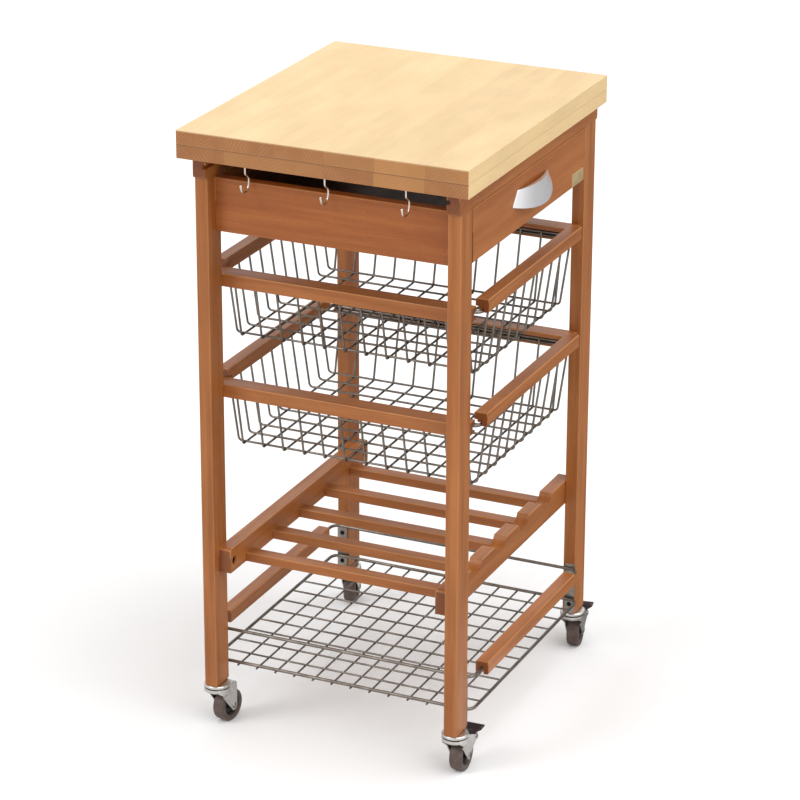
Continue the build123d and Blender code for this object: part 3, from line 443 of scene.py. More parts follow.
def metal(name, bright, dull, smooth, rough, lines=(40.0, 40.0, 1200.0), clouds=90.0,
          bump=(0.1, 0.0001), bare=1.0):
    """A bare, plated or lacquered metal; a lacquered one is less than wholly bare."""
    settings = {"Bright": bright, "Dull": dull, "Smooth": smooth, "Rough": rough,
                "Line Stretch": Vector(lines), "Cloud Scale": clouds}
    return textured(name, worked, settings, bare, bump)


def gather(whole, shape, place):
    """Put a finished shape in its place among the others of a piece."""
    bmesh.ops.transform(shape, matrix=place, verts=shape.verts)
    pressed = bpy.data.meshes.new("pressed")
    shape.to_mesh(pressed)
    shape.free()
    whole.from_mesh(pressed)
    bpy.data.meshes.remove(pressed)


def rounded(shape, edges, amount, segments):
    """Round the given edges of a shape."""
    bmesh.ops.bevel(shape, geom=edges, offset=amount, offset_type="OFFSET", segments=segments, profile=0.5,
                    affect="EDGES", clamp_overlap=True, material=-1)


def folds_of(shape, angle):
    """The edges of a shape that are sharper than an angle."""
    return [edge for edge in shape.edges if edge.is_manifold and edge.calc_face_angle(0) > radians(angle)]


def eased(shape, amount, segments=2, angle=30):
    """Round the edges of a shape that are sharper than an angle."""
    rounded(shape, folds_of(shape, angle), amount, segments)
    return shape


def mounted(name, whole, material, body, slot, *stands_for, sharp=38):
    """Make a gathered shape a piece of the trolley, on its body."""
    mesh = bpy.data.meshes.new(name)
    whole.to_mesh(mesh)
    whole.free()
    mesh.materials.append(material)
    mesh.shade_smooth()
    mesh.set_sharp_from_angle(angle=radians(sharp))
    piece = bpy.data.objects.new(name, mesh)
    scene.collection.objects.link(piece)
    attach(piece, body)
    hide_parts(*stands_for)
    return piece


shell = bmesh.new()
bmesh.ops.create_grid(shell, x_segments=36, y_segments=8, size=1)
for vertex in shell.verts:
    across, share = vertex.co.x, (1 - vertex.co.y) / 2
    depth = pull_height + pull_dip
    for _ in range(4):
        half = pull_half_top + (pull_half_bottom - pull_half_top) * depth / pull_height
        depth = pull_height + pull_dip * (1 - min(1, abs(half * across) / pull_half_bottom) ** 2)
    depth *= share
    half = pull_half_top + (pull_half_bottom - pull_half_top) * depth / pull_height
    bulge = pull_bulge_top + (pull_bulge_bottom - pull_bulge_top) * depth / pull_height
    vertex.co = (half * across, -bulge * (1 - across ** 2), -depth)
top_edges = [edge for edge in shell.edges if all(abs(vertex.co.z) < 1e-6 for vertex in edge.verts)]
turned_in = bmesh.ops.extrude_edge_only(shell, edges=top_edges)["geom"]
for vertex in (item for item in turned_in if isinstance(item, bmesh.types.BMVert)):
    vertex.co.y *= 1 - pull_lip / pull_bulge_top
    vertex.co.x *= 1 - 0.5 * pull_lip / pull_half_top
    vertex.co.z = -0.3
rounded(shell, top_edges, pull_round, 3)
shell.normal_update()
if sum(face.normal.y for face in shell.faces) > 0:
    bmesh.ops.reverse_faces(shell, faces=shell.faces)
low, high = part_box("drawer_pull")
place = Matrix.Translation(((low.x + high.x) / 2, high.y, high.z)) @ millimetres
whole = bmesh.new()
gather(whole, shell, place)
satin_nickel = metal("satin_nickel", nickel_bright, nickel_dull, 0.22, 0.26,
                     (9.0, 60.0, 900.0), 30.0, (0.0, 0.0001), bare=0.6)
pull = mounted("bow_pull", whole, satin_nickel, node_body["drawer_pull"], "satin_metal", "drawer_pull")
wall = pull.modifiers.new("wall", "SOLIDIFY")
wall.thickness = pull_wall / 1000
wall.offset = -1
wall.use_even_offset = True
rim = pull.modifiers.new("rim", "BEVEL")
rim.width = 0.0003
rim.segments = 2
rim.limit_method = "ANGLE"
rim.angle_limit = radians(50)

# Blank plate
# A small plate of lacquered brass with rounded corners, at the lower right of the drawer front.
# Two small pins hold it.
pin_from_middle = 0.0172
plate_brass = metal("plate_brass", (0.66, 0.50, 0.27), (0.54, 0.39, 0.19), 0.3, 0.45,
                    (2600.0, 60.0, 60.0), 120.0, bare=0.35)


def block(sizes):
    """A block of a size along each axis, in millimetres, for its edges to be rounded."""
    shape = bmesh.new()
    bmesh.ops.create_cube(shape, size=1)
    bmesh.ops.scale(shape, vec=sizes, verts=shape.verts)
    return shape


low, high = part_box("blank_plate")
whole = bmesh.new()
plate = block((high - low) * 1000)
corner_edges = [edge for edge in plate.edges if abs(edge.verts[0].co.y - edge.verts[1].co.y) > 0.5]
rounded(plate, corner_edges, 1.2, 4)
rounded(plate, [edge for edge in plate.edges if all(vertex.co.y < 0 for vertex in edge.verts)], 0.3, 2)
gather(whole, plate, Matrix.Translation((low + high) / 2) @ millimetres)
for end in (-1, 1):
    pin = bmesh.new()
    bmesh.ops.create_uvsphere(pin, u_segments=16, v_segments=8, radius=0.9)
    bmesh.ops.scale(pin, vec=(1, 0.45, 1), verts=pin.verts)
    spot = Vector(((low.x + high.x) / 2 + end * pin_from_middle, low.y, (low.z + high.z) / 2))
    gather(whole, pin, Matrix.Translation(spot) @ millimetres)
mounted("bare_plate", whole, plate_brass, node_body["blank_plate"], "brass_plate", "blank_plate")

# Basket rails and bars
# Side rails of stained beech between the legs, grooved for the baskets' rim wires. Each basket has
# a bar of the same wood across its front end and its back end.
levels = ("upper", "lower")
stained([f"basket_rail_{level}_{side}" for level in levels for side in ("left", "right")], along_y)
stained([f"basket_{level}_bar_{end}" for level in levels for end in ("front", "back")], along_x)

# Wire baskets
# Bent and spot-welded steel wire, with a thicker wire round the rim. The thin grey lacquer on it
# is duller where it has rubbed.
wire_grey, wire_dark = (0.27, 0.235, 0.20), (0.17, 0.145, 0.125)
lacquered_wire = metal("lacquered_wire", wire_grey, wire_dark, 0.30, 0.46, (300.0, 300.0, 300.0), 60.0)
for node in ("basket_upper_wire", "basket_lower_wire"):
    finish_with(node, lacquered_wire)

# Bottle rack, tray bars and top guides
# Two rack rails bolted to the legs, the front one scalloped for bottle necks, with five slats
# between them. The tray's end bars and the guides under the top are cut from beech too.
stained(["rack_rail_front", "rack_rail_back", "tray_bar_front", "tray_bar_back"], along_x)
# The guides under the top get the same dark painted shade as the drawer box.
stained(["top_guides"], along_x, **inner_painted_shade)
stained([f"rack_slat_{number}" for number in range(1, 6)], along_y)


def loose_boxes(node):
    """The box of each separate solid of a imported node."""
    solids = bmesh.new()
    solids.from_mesh(frame["nodes"][node].data)
    bmesh.ops.remove_doubles(solids, verts=solids.verts, dist=1e-6)
    left, boxes = set(solids.verts), []
    while left:
        reached = [left.pop()]
        for vertex in reached:
            near = {edge.other_vert(vertex) for edge in vertex.link_edges} & left
            left -= near
            reached.extend(near)
        corners = [[pick(vertex.co[axis] for vertex in reached) for axis in range(3)] for pick in (min, max)]
        boxes.append((Vector(corners[0]), Vector(corners[1])))
    solids.free()
    return boxes


def turned(profile, steps=32, axis="Z"):
    """A shape turned on a lathe from a profile of radius and height, in millimetres, about an axis."""
    shape = bmesh.new()
    points = [shape.verts.new((radius, 0, height)) for radius, height in profile]
    edges = [shape.edges.new(pair) for pair in zip(points, points[1:])]
    bmesh.ops.spin(shape, geom=points + edges, cent=(0, 0, 0), axis=(0, 0, 1), angle=tau, steps=steps,
                   use_merge=True)
    bmesh.ops.remove_doubles(shape, verts=shape.verts, dist=1e-4)
    turn = {"Z": Matrix(), "X": Matrix.Rotation(pi / 2, 4, "Y"), "Y": Matrix.Rotation(-pi / 2, 4, "X")}[axis]
    bmesh.ops.transform(shape, matrix=turn, verts=shape.verts)
    bmesh.ops.recalc_face_normals(shape, faces=shape.faces)
    return shape


# Rack bolts
# Four bolts of blackened steel with socket heads. Each is sunk in a rack rail's inner face and
# runs into the leg behind it.
bolt_head_height = 0.0045
blackened = metal("blackened_steel", (0.045, 0.040, 0.038), (0.022, 0.019, 0.018), 0.35, 0.55,
                  bump=(0.08, 0.0001))
bolt_profile = [
    (0, 1.4), (2.7, 1.4), (3.1, 4.2), (3.6, 4.5), (5.2, 4.5), (5.8, 4.1), (6.0, 3.4), (6.0, 0),
    (3.0, 0), (3.0, -24.4), (2.4, -25.4), (0, -25.4),
]
whole = bmesh.new()
for low, high in loose_boxes("rack_bolts"):
    middle, inward = (low + high) / 2, 1 if high.y < 0 else -1
    head_y = (high.y if inward > 0 else low.y) - inward * bolt_head_height
    bolt = turned(bolt_profile, 24, "Y")
    seat = Matrix.Translation((middle.x, head_y, middle.z)) @ Matrix.Scale(inward, 4, (0, 1, 0)) @ millimetres
    gather(whole, bolt, seat)
bmesh.ops.recalc_face_normals(whole, faces=whole.faces)
mounted("sunk_bolts", whole, blackened, "frame", "black_steel", "rack_bolts")

# Wire tray
# Two wire loops and a spot-welded grid, in the same lacquered wire as the baskets. Four flat
# steel straps, screwed to the legs' inner faces, hold the loops.
finish_with("tray_wire", lacquered_wire)
strap_steel = metal("strap_steel", (0.42, 0.39, 0.35), (0.30, 0.27, 0.24), 0.30, 0.45,
                    (60.0, 60.0, 1500.0), 80.0)
whole = bmesh.new()
for low, high in loose_boxes("tray_straps"):
    strap = block((high - low) * 1000)
    corner_edges = [edge for edge in strap.edges if abs(edge.verts[0].co.x - edge.verts[1].co.x) > 0.5]
    rounded(strap, corner_edges, 2.5, 5)
    gather(whole, eased(strap, 0.3), Matrix.Translation((low + high) / 2) @ millimetres)
mounted("flat_straps", whole, strap_steel, "frame", "grey_wire", "tray_straps")

# Frame screws
# Screws of the same blackened steel: pan heads through the straps into the legs, and long
# countersunk ones down through the rail ends into the leg tops.
pan_height = 0.0016
long_screw = 0.03
pan_profile = [
    (0, 0.5), (1.0, 0.5), (1.3, 1.3), (1.8, 1.6), (2.6, 1.35), (3.2, 0.8), (3.5, 0), (1.7, 0),
    (1.7, -12.0), (0, -13.0),
]
sunk_profile = [(0, -1.6), (1.5, -1.4), (1.9, 0), (4.5, 0), (2.5, -2), (2.5, -57.5), (0, -60)]
whole = bmesh.new()
for low, high in loose_boxes("frame_screws"):
    middle = (low + high) / 2
    if high.z - low.z > long_screw:
        seat = Matrix.Translation((middle.x, middle.y, high.z))
        gather(whole, turned(sunk_profile, 20), seat @ millimetres)
    else:
        inward = 1 if middle.x < 0 else -1
        head_x = (high.x if inward > 0 else low.x) - inward * pan_height
        seat = Matrix.Translation((head_x, middle.y, middle.z)) @ Matrix.Scale(inward, 4, (1, 0, 0))
        gather(whole, turned(pan_profile, 20, "X"), seat @ millimetres)
bmesh.ops.recalc_face_normals(whole, faces=whole.faces)
mounted("black_screws", whole, blackened, "frame", "black_steel", "frame_screws")

# Top
# Two leaves of pale oiled beech, each glued up from staves that run along X. Every stave
# has its own rings and tone, and the sawn ends have soaked up more oil than the faces.
stave_width = 0.07
top_light = (0.88, 0.64, 0.325)
top_dark = (0.82, 0.545, 0.262)
top_fleck = (0.52, 0.30, 0.13)
top_end = (0.50, 0.220, 0.064)
top_end_deep = (0.34, 0.128, 0.036)
# A light colour for the painted highlight along the upper leaf's edges, and a dark one for painted shade
# along the lower leaf's upper edges, where it meets the upper leaf.
top_edge_highlight = (0.98, 0.77, 0.44)
top_seam_shade = (0.30, 0.13, 0.05)
top_joint = (0.75, 0.66, 0.55)
side_flecks = 0.5

staves, given, made = node_group(
    "glued_staves",
    {"Vector": Vector(), "Stave Width": 0.07, "First Joint": 0.2, "Seed": 0.0},
    {"Vector": Vector, "Pith": Vector, "Shift": Vector, "Tone": float, "Joint": float, "Lot": float},
)
parts = add(staves, "ShaderNodeSeparateXYZ", {0: given["Vector"]}).outputs
across = maths(staves, "SUBTRACT", parts["Y"], given["First Joint"])
across = maths(staves, "DIVIDE", across, given["Stave Width"])
number = maths(staves, "FLOOR", across)
inside = maths(staves, "SUBTRACT", maths(staves, "FRACT", across), 0.5)
centred = add(staves, "ShaderNodeCombineXYZ", {
    "X": parts["X"], "Y": maths(staves, "MULTIPLY", inside, given["Stave Width"]), "Z": parts["Z"],
}).outputs[0]
lot = add(staves, "ShaderNodeTexWhiteNoise", {"W": maths(staves, "ADD", number, given["Seed"])},
          noise_dimensions="1D")
chance = add(staves, "ShaderNodeSeparateColor", {0: lot.outputs["Color"]}).outputs
pith = add(staves, "ShaderNodeCombineXYZ", {
    "Y": maths(staves, "MULTIPLY_ADD", chance[0], 0.16, -0.08),
    "Z": maths(staves, "MULTIPLY_ADD", chance[1], -0.07, -0.015),
}).outputs[0]
shift = add(
    staves, "ShaderNodeVectorMath", {0: lot.outputs["Color"], "Scale": 31.0}, operation="SCALE",
).outputs[0]
edge = maths(staves, "SUBTRACT", 0.5, maths(staves, "ABSOLUTE", inside))
staves.links.new(centred, made["Vector"])
staves.links.new(pith, made["Pith"])
staves.links.new(shift, made["Shift"])
staves.links.new(maths(staves, "MULTIPLY_ADD", chance[2], 0.07, 0.965), made["Tone"])
staves.links.new(chance[2], made["Lot"])
staves.links.new(ramp(staves, edge, 0.006, 0.001), made["Joint"])


def oiled(node, seed, slip, edge, edge_shading_amount):
    """The finish of one leaf, with its own lot of staves and its own colour of painted light along its edges.
    """
    low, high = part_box(node)
    half_size = (high - low) / 2
    material = bpy.data.materials.new(f"oiled_{node}")
    tree = tree_of(material)
    place = add(tree, "ShaderNodeTexCoord").outputs["Object"]
    place = add(tree, "ShaderNodeMapping", {"Vector": place, "Location": -(low + high) / 2}).outputs[0]
    stave = add(tree, "ShaderNodeGroup", node_tree=staves)
    tree.links.new(place, stave.inputs["Vector"])
    stave.inputs["Stave Width"].default_value = stave_width
    stave.inputs["First Joint"].default_value = half_size.y + slip
    stave.inputs["Seed"].default_value = seed
    grained = add(tree, "ShaderNodeGroup", node_tree=beech)
    for key in ("Vector", "Pith", "Shift", "Tone"):
        tree.links.new(stave.outputs[key], grained.inputs[key])
    grained.inputs["Half Size"].default_value = half_size
    for key, value in {"Ring Gap": 0.0042, "Rings": 0.10, "Streaks": 0.45, "Edge Wear": edge_shading_amount,
                       "End Rings": 0.3}.items():
        grained.inputs[key].default_value = value
    for key, value in {"Light": top_light, "Dark": top_dark, "Fleck": top_fleck, "Edge": edge}.items():
        grained.inputs[key].default_value = (*value, 1)
    end_tone = blend(tree, stave.outputs["Lot"], (*top_end, 1), (*top_end_deep, 1))
    tree.links.new(end_tone, grained.inputs["End"])
    sideways = maths(tree, "ABSOLUTE", add(tree, "ShaderNodeSeparateXYZ", {0: place}).outputs["Y"])
    sawn_side = ramp(tree, sideways, half_size.y - 0.001, half_size.y - 0.0002)
    tree.links.new(maths(tree, "MULTIPLY_ADD", sawn_side, side_flecks, 0.15), grained.inputs["Flecks"])
    colour = blend(tree, maths(tree, "MULTIPLY", stave.outputs["Joint"], 0.35), grained.outputs["Color"],
                   (*top_joint, 1), "MULTIPLY")
    bump = add(
        tree, "ShaderNodeBump", {"Strength": 0.1, "Distance": 0.0003, "Height": grained.outputs["Height"]},
    )
    surface = add(tree, "ShaderNodeBsdfPrincipled", {
        "Base Color": colour, "Roughness": grained.outputs["Roughness"], "Normal": bump.outputs[0],
        "Coat Weight": 0.1, "Coat Roughness": 0.4,
    })
    add(tree, "ShaderNodeOutputMaterial", {"Surface": surface.outputs[0]})
    return material


# The lower leaf gets painted shade along its upper edges, at the seam under the upper leaf; the upper leaf
# gets a painted highlight along its edges.
finish_with("top_lower", oiled("top_lower", 3.0, 0.001, top_seam_shade, 0.6))
finish_with("top_upper", oiled("top_upper", 40.0, 0.0, top_edge_highlight, 0.3))

# Hinges
# Two brass butt hinges let into the far edge of the leaves, with three countersunk screws in each
# half. The heads are almost flush, and clear each other when the upper leaf is folded out.
hinge_places = (-0.12, 0.12)
hinge_screw_places = (-0.017, 0.0, 0.017)
hinge_screw_rise = 0.0078
hinge_screw = [(0, -0.9), (0.6, -0.9), (0.9, 0.1), (2.2, 0.05), (2.6, -0.3), (2.6, -2.5), (0, -2.5)]
far_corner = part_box("top_lower")[1]
hinge_brass = metal("hinge_brass", (0.66, 0.48, 0.22), (0.52, 0.36, 0.15), 0.22, 0.38, (60.0, 1600.0, 60.0))
for node in ("hinge_lower", "hinge_upper"):
    finish_with(node, hinge_brass)
    lift = 1 if node == "hinge_upper" else -1
    whole = bmesh.new()
    for y in hinge_places:
        for offset in hinge_screw_places:
            seat = Vector((far_corner.x, y + offset, far_corner.z + lift * hinge_screw_rise))
            gather(whole, turned(hinge_screw, 20, "X"), Matrix.Translation(seat) @ millimetres)
    mounted(f"screws_{node}", whole, hinge_brass, node_body[node], "hinge_brass", node)

# Cup hooks
# Three nickel-plated hooks of bent wire, screwed up into the lower leaf, each with a blunt, thickened tip.
# Their path runs down from the leaf, back towards the apron, round the bottom and up in front.
hook_radius = 1.4
hook_reach = 0.0134
hook_path = [
    ((0, 12), 1.0), ((0, 0), 1.0), ((0, -12), 1.0), ((0, -15.5), 1.0), ((2.2, -18.0), 1.0),
    ((7.5, -20.6), 1.0), ((10.4, -25.0), 1.0), ((10.0, -31.5), 1.0), ((6.6, -38.6), 1.0),
    ((0, -41.2), 1.0), ((-7.0, -39.8), 1.0), ((-10.4, -35.6), 1.05), ((-12.0, -29.4), 1.45),
    ((-12.4, -27.8), 1.35), ((-12.5, -27.2), 0.8),
]
plated = metal("plated_nickel", (0.80, 0.74, 0.66), (0.66, 0.60, 0.52), 0.14, 0.24,
               (400.0, 400.0, 400.0), 140.0)
line = bpy.data.curves.new("hook_line", "CURVE")
line.dimensions = "3D"
line.bevel_depth = hook_radius
line.bevel_resolution = 4
line.use_fill_caps = True
run = line.splines.new("NURBS")
run.points.add(len(hook_path) - 1)
for point, ((x, z), thickness) in zip(run.points, hook_path):
    point.co = (x, 0, z, 1)
    point.radius = thickness
run.order_u = 3
run.use_endpoint_u = True
run.resolution_u = 6
bent = bpy.data.objects.new("hook_line", line)
bent_mesh = bpy.data.meshes.new_from_object(bent)
hook_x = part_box("hooks")[0].x + hook_reach
whole = bmesh.new()
for hook_low, hook_high in loose_boxes("hooks"):
    hook = bmesh.new()
    hook.from_mesh(bent_mesh)
    bmesh.ops.remove_doubles(hook, verts=hook.verts, dist=1e-4)
    place = (hook_x, (hook_low.y + hook_high.y) / 2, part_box("top_lower")[0].z)
    gather(whole, hook, Matrix.Translation(place) @ millimetres)
bpy.data.objects.remove(bent)
bpy.data.curves.remove(line)
bpy.data.meshes.remove(bent_mesh)
mounted("cup_hooks", whole, plated, node_body["hooks"], "nickel", "hooks", sharp=60)

# Castor races
# Swivel castors of zinc-plated pressed steel. The upper race is a cupped plate on the stem, with the
# king pin riveted over under the fork's crown.
castor_turn = {"front_left": 2.0, "front_right": 10.0, "back_left": -9.0, "back_right": 14.0}
castor_top = 66.0
crown_top, crown_low = 59.8, 54.0
zinc = metal("zinc_plate", (0.74, 0.72, 0.69), (0.60, 0.58, 0.55), 0.22, 0.36,
             (300.0, 300.0, 700.0), 110.0)
dull_zinc = metal("dull_zinc", (0.40, 0.37, 0.36), (0.28, 0.25, 0.25), 0.35, 0.5,
                  (300.0, 300.0, 700.0), 110.0)
castor_place = {}
for corner, turn in castor_turn.items():
    low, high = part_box(f"leg_{corner}")
    spot = Matrix.Translation(((low.x + high.x) / 2, (low.y + high.y) / 2, 0))
    castor_place[corner] = spot @ Matrix.Rotation(radians(turn), 4, "Z") @ millimetres
race_profile = [
    (0, castor_top + 35), (4.6, castor_top + 35), (5, castor_top + 34.5), (5, castor_top), (16.4, castor_top),
    (17.6, castor_top - 0.5), (18.3, castor_top - 1.7), (18.3, castor_top - 3.9), (17.9, castor_top - 4.6),
    (17.2, castor_top - 4.8), (15.8, castor_top - 4.2), (6, castor_top - 4.2), (6, crown_top + 0.05),
    (4, crown_top + 0.05), (4, crown_low - 0.05), (6, crown_low - 0.05), (5.6, crown_low - 1.1),
    (4.4, crown_low - 1.55), (0, crown_low - 1.55),
]
whole = bmesh.new()
for corner in castor_corners:
    gather(whole, turned(race_profile, 48), castor_place[corner])
mounted("castor_races", whole, zinc, "frame", "zinc_steel", "castor_stems", sharp=50)

# Castor forks
# Each fork is one sheet, pressed to a round crown with two cheeks that carry the axle, and on the
# two front castors also the brake's pivot. Tubular rivets close both.
cheek_outer, fork_sheet, fold_round = 12.0, 1.6, 1.7
flare_low, flare_radius = 42.0, 17.9
axle_x, axle_z = 23.0, 23.0
pivot_x, pivot_z = 49.0, 38.5
front_edge = -12.8
throat = [
    (16.4, 21.6), (11.6, 26.8), (6.8, 32.8), (2.6, 38.6), (-1.4, 44.0), (-5.0, 48.0), (-8.8, 51.2),
    (-11.0, 53.0), (front_edge, crown_low),
]
boss = [
    (axle_x + 6.5 * cos(radians(angle)), axle_z + 6.5 * sin(radians(angle)))
    for angle in range(-20, -165, -24)
]
plain_back = [(29.5, 26.0), (29.5, 54.6), (29.1, 56.6), (27.9, 58.4), (26.2, 59.4), (24.2, crown_top)]
ear = [
    (pivot_x + 5 * cos(radians(angle)), pivot_z + 5 * sin(radians(angle))) for angle in range(120, -41, -32)
]
braked_back = [(9.6, crown_top), (12.4, 58.5), *ear, (46.5, 32.5), (40.0, 29.9), (34.6, 27.4), (30.6, 24.2)]
crown_profile = [
    (4.05, crown_top), (16.9, crown_top), (17.9, crown_top - 0.3), (18.3, crown_top - 1.2),
    (17.6, crown_low + 1.6), (17.0, crown_low + 0.5), (16.0, crown_low), (12.0, crown_low),
    (4.05, crown_low + 0.02),
]
rivet_profile = [
    (0, -1.0), (2.0, -1.0), (2.2, 0.9), (2.9, 1.2), (3.9, 0.9), (4.5, 0), (3.0, 0), (3.0, -12), (0, -12),
]
sheet_cuts = ((0, (-9, -5, 0, 5, 9, 12, 14.5)), (2, (42, 45, 48, 51, 54, 56.5)))


def face_up(sheet):
    """Turn a sheet's faces all one way, with its crown facing up."""
    bmesh.ops.recalc_face_normals(sheet, faces=sheet.faces)
    if sum(face.normal.z for face in sheet.faces) < 0:
        bmesh.ops.reverse_faces(sheet, faces=sheet.faces)


for corner in castor_corners:
    braked = corner.startswith("front")
    back_edge = braked_back if braked else plain_back[::-1]
    crown_strips = 2 if braked else 6
    outline = [(front_edge, crown_top), *back_edge, *boss, *throat]
    sheet = bmesh.new()
    sides = []
    for y in (-cheek_outer, cheek_outer):
        sides.append([sheet.verts.new((x, y, z)) for x, z in outline])
        sheet.faces.new(sides[-1])
    near, far = sides
    for step in range(crown_strips):
        sheet.faces.new((near[step], far[step], far[step + 1], near[step + 1]))
    face_up(sheet)
    rounded(sheet, folds_of(sheet, 60), fold_round, 4)
    bmesh.ops.triangulate(sheet, faces=[face for face in sheet.faces if len(face.verts) > 4])
    for axis, places in sheet_cuts:
        for cut in places:
            normal = [float(axis == number) for number in range(3)]
            bmesh.ops.bisect_plane(sheet, geom=sheet.verts[:] + sheet.edges[:] + sheet.faces[:], dist=1e-4,
                                   plane_co=[cut * part for part in normal], plane_no=normal)
    for vertex in sheet.verts:
        x, y, z = vertex.co
        share = min(1, max(0, (z - flare_low) / (crown_low + 1 - flare_low)))
        reach = sqrt(max(0, flare_radius ** 2 - x ** 2))
        if abs(y) > 1 and reach > cheek_outer:
            vertex.co.y *= 1 + (reach / cheek_outer - 1) * share ** 2 * (3 - 2 * share)
    face_up(sheet)
    bmesh.ops.solidify(sheet, geom=sheet.faces[:], thickness=fork_sheet)
    whole = bmesh.new()
    gather(whole, sheet, castor_place[corner])
    gather(whole, turned(crown_profile + crown_profile[:1], 48), castor_place[corner])
    body = node_body[f"castor_fork_{corner}"]
    mounted(f"pressed_fork_{corner}", whole, zinc, body, "zinc_steel", f"castor_fork_{corner}", sharp=40)
    whole = bmesh.new()
    for x, z, size in ((axle_x, axle_z, 1.0), (pivot_x, pivot_z, 0.8))[:2 if braked else 1]:
        for side in (-1, 1):
            head = turned(rivet_profile, 24, "Y")
            place = Matrix.Translation((x, side * cheek_outer, z)) @ Matrix.Diagonal((size, side, size, 1))
            gather(whole, head, castor_place[corner] @ place)
    bmesh.ops.recalc_face_normals(whole, faces=whole.faces)
    mounted(f"rivets_{corner}", whole, dull_zinc, body, "zinc_steel", f"castor_fork_{corner}", sharp=40)

# Castor wheels
# A black moulded hub, dished on both sides, turns on the fork's axle rivet. It carries a
# brown-grey rubber tread with rounded shoulders.
tyre_half = [
    (15.0, 6.4), (15.4, 7.8), (17.6, 9.0), (19.6, 9.3), (21.3, 9.0), (22.3, 8.2), (22.85, 6.8), (23.0, 4.0),
]
tyre_profile = tyre_half + [(radius, -half) for radius, half in reversed(tyre_half)] + tyre_half[:1]
hub_half = [
    (3.05, 9.3), (5.6, 9.3), (6.0, 8.9), (6.4, 3.2), (7.2, 2.5), (12.0, 3.0), (13.2, 6.0), (13.7, 6.5),
    (15.0, 6.5),
]
hub_profile = hub_half + [(radius, -half) for radius, half in reversed(hub_half)] + hub_half[:1]

# Moulded goods: a fine even grain, with soft clouds where dust and light have dulled them.
moulded, given, made = node_group(
    "moulded",
    {"Vector": Vector(), "Deep": (0.02, 0.02, 0.02), "Dusty": (0.05, 0.05, 0.05), "Smooth": 0.3, "Rough": 0.5,
     "Grain Scale": 2600.0, "Cloud Scale": 120.0},
    {"Color": tuple, "Height": float, "Roughness": float},
)
cloud = noise(moulded, given["Vector"], given["Cloud Scale"], 4, 0.6)
grain = noise(moulded, given["Vector"], given["Grain Scale"], 2, 0.5)
dust = ramp(moulded, cloud, 0.35, 0.75)
moulded.links.new(blend(moulded, dust, given["Deep"], given["Dusty"]), made["Color"])
moulded.links.new(grain, made["Height"])
gap = maths(moulded, "SUBTRACT", given["Rough"], given["Smooth"])
moulded.links.new(maths(moulded, "MULTIPLY_ADD", dust, gap, given["Smooth"]), made["Roughness"])
tread = textured("tread_rubber", moulded, {
    "Deep": (0.085, 0.055, 0.045), "Dusty": (0.15, 0.102, 0.082), "Smooth": 0.42, "Rough": 0.6,
}, 0.0, (0.2, 0.0001))
hub_black = textured("hub_black", moulded, {
    "Deep": (0.010, 0.008, 0.010), "Dusty": (0.020, 0.017, 0.018), "Smooth": 0.3, "Rough": 0.45,
}, 0.0, (0.1, 0.0001))
for corner in castor_corners:
    place = castor_place[corner] @ Matrix.Translation((axle_x, 0, axle_z))
    body = node_body[f"castor_tyre_{corner}"]
    whole = bmesh.new()
    gather(whole, turned(tyre_profile, 56, "Y"), place)
    mounted(f"tread_{corner}", whole, tread, body, "tread_rubber", f"castor_tyre_{corner}")
    whole = bmesh.new()
    gather(whole, turned(hub_profile, 40, "Y"), place)
    mounted(f"dished_hub_{corner}", whole, hub_black, body, "black_plastic", f"castor_hub_{corner}")

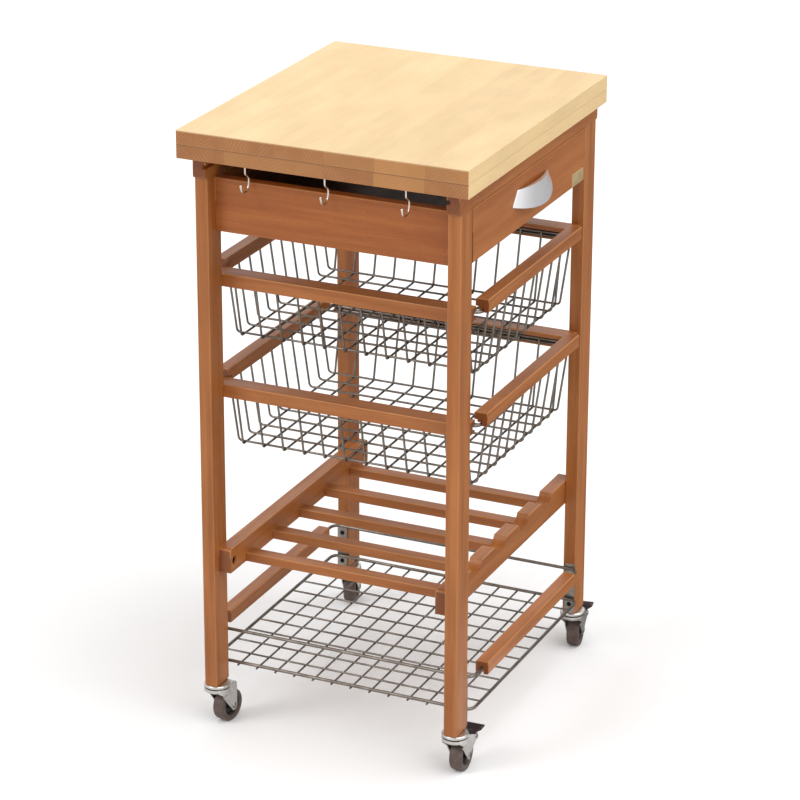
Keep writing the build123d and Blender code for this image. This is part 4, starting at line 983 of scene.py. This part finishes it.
# Brake pedals
# Black moulded levers between the ears of the two front forks. Each flares up to a broad paddle with
# three grip ribs, and a nose under it presses on the tread.
pedal_black = textured("pedal_black", moulded, {
    "Deep": (0.020, 0.007, 0.009), "Dusty": (0.036, 0.014, 0.017), "Smooth": 0.35, "Rough": 0.5,
}, 0.0, (0.12, 0.0001))
neck_x, neck_z, neck_half_x, neck_half_y = 49.0, 42.0, 6.0, 6.5
paddle_x, paddle_z, paddle_half_x, paddle_half_y = 56.0, 48.6, 6.5, 18.5
rib_size, rib_pitch, rib_z = (1.3, 31, 1.2), 3.2, 50.35
nose_size, column_size = (6.8, 16.8, 5.2), (8.4, 13.0, 5.0)
barrel = [(0, 9.1), (3.4, 9.1), (4.0, 8.6), (4.0, -8.6), (3.4, -9.1), (0, -9.1)]
for corner in ("front_left", "front_right"):
    whole = bmesh.new()
    paddle = bmesh.new()
    bmesh.ops.create_cube(paddle, size=2)
    for vertex in paddle.verts:
        top = vertex.co.z > 0
        vertex.co = (
            (paddle_x + vertex.co.x * paddle_half_x, vertex.co.y * paddle_half_y, paddle_z) if top
            else (neck_x + vertex.co.x * neck_half_x, vertex.co.y * neck_half_y, neck_z)
        )
    roof = max(paddle.faces, key=lambda face: face.calc_center_median().z)
    for rise, shrink in ((1.9, 1.0), (0.5, 0.96), (-0.6, 0.93)):
        grown = bmesh.ops.extrude_face_region(paddle, geom=[roof])["geom"]
        bmesh.ops.delete(paddle, geom=[roof], context="FACES_ONLY")
        raised = [item for item in grown if isinstance(item, bmesh.types.BMVert)]
        roof = next(item for item in grown if isinstance(item, bmesh.types.BMFace))
        bmesh.ops.translate(paddle, vec=(0, 0, rise), verts=raised)
        bmesh.ops.scale(paddle, vec=(shrink - 0.06 * (shrink < 1), shrink, 1), verts=raised,
                        space=Matrix.Translation((-paddle_x, 0, 0)))
    bmesh.ops.recalc_face_normals(paddle, faces=paddle.faces)
    gather(whole, eased(paddle, 0.45, 2, 25), castor_place[corner])
    for step in (-1, 0, 1):
        place = Matrix.Translation((paddle_x + rib_pitch * step, 0, rib_z))
        gather(whole, eased(block(rib_size), 0.4), castor_place[corner] @ place)
    pivot = castor_place[corner] @ Matrix.Translation((pivot_x, 0, pivot_z))
    gather(whole, turned(barrel, 28, "Y"), pivot)
    nose = block(nose_size)
    for vertex in nose.verts:
        if vertex.co.x > 0:
            vertex.co.z *= 0.42
    lean = Matrix.Rotation(radians(120), 4, "Y") @ Matrix.Translation((3.4, 0, 0))
    gather(whole, eased(nose, 0.6), pivot @ lean)
    gather(whole, eased(block(column_size), 0.5), pivot @ Matrix.Translation((0, 0, 2.4)))
    mounted(f"pedal_{corner}", whole, pedal_black, node_body[f"brake_pedal_{corner}"], "black_plastic",
            f"brake_pedal_{corner}")

size = {"cad": [list(corner) for corner in cad_box], "visual": [list(corner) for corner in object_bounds()]}
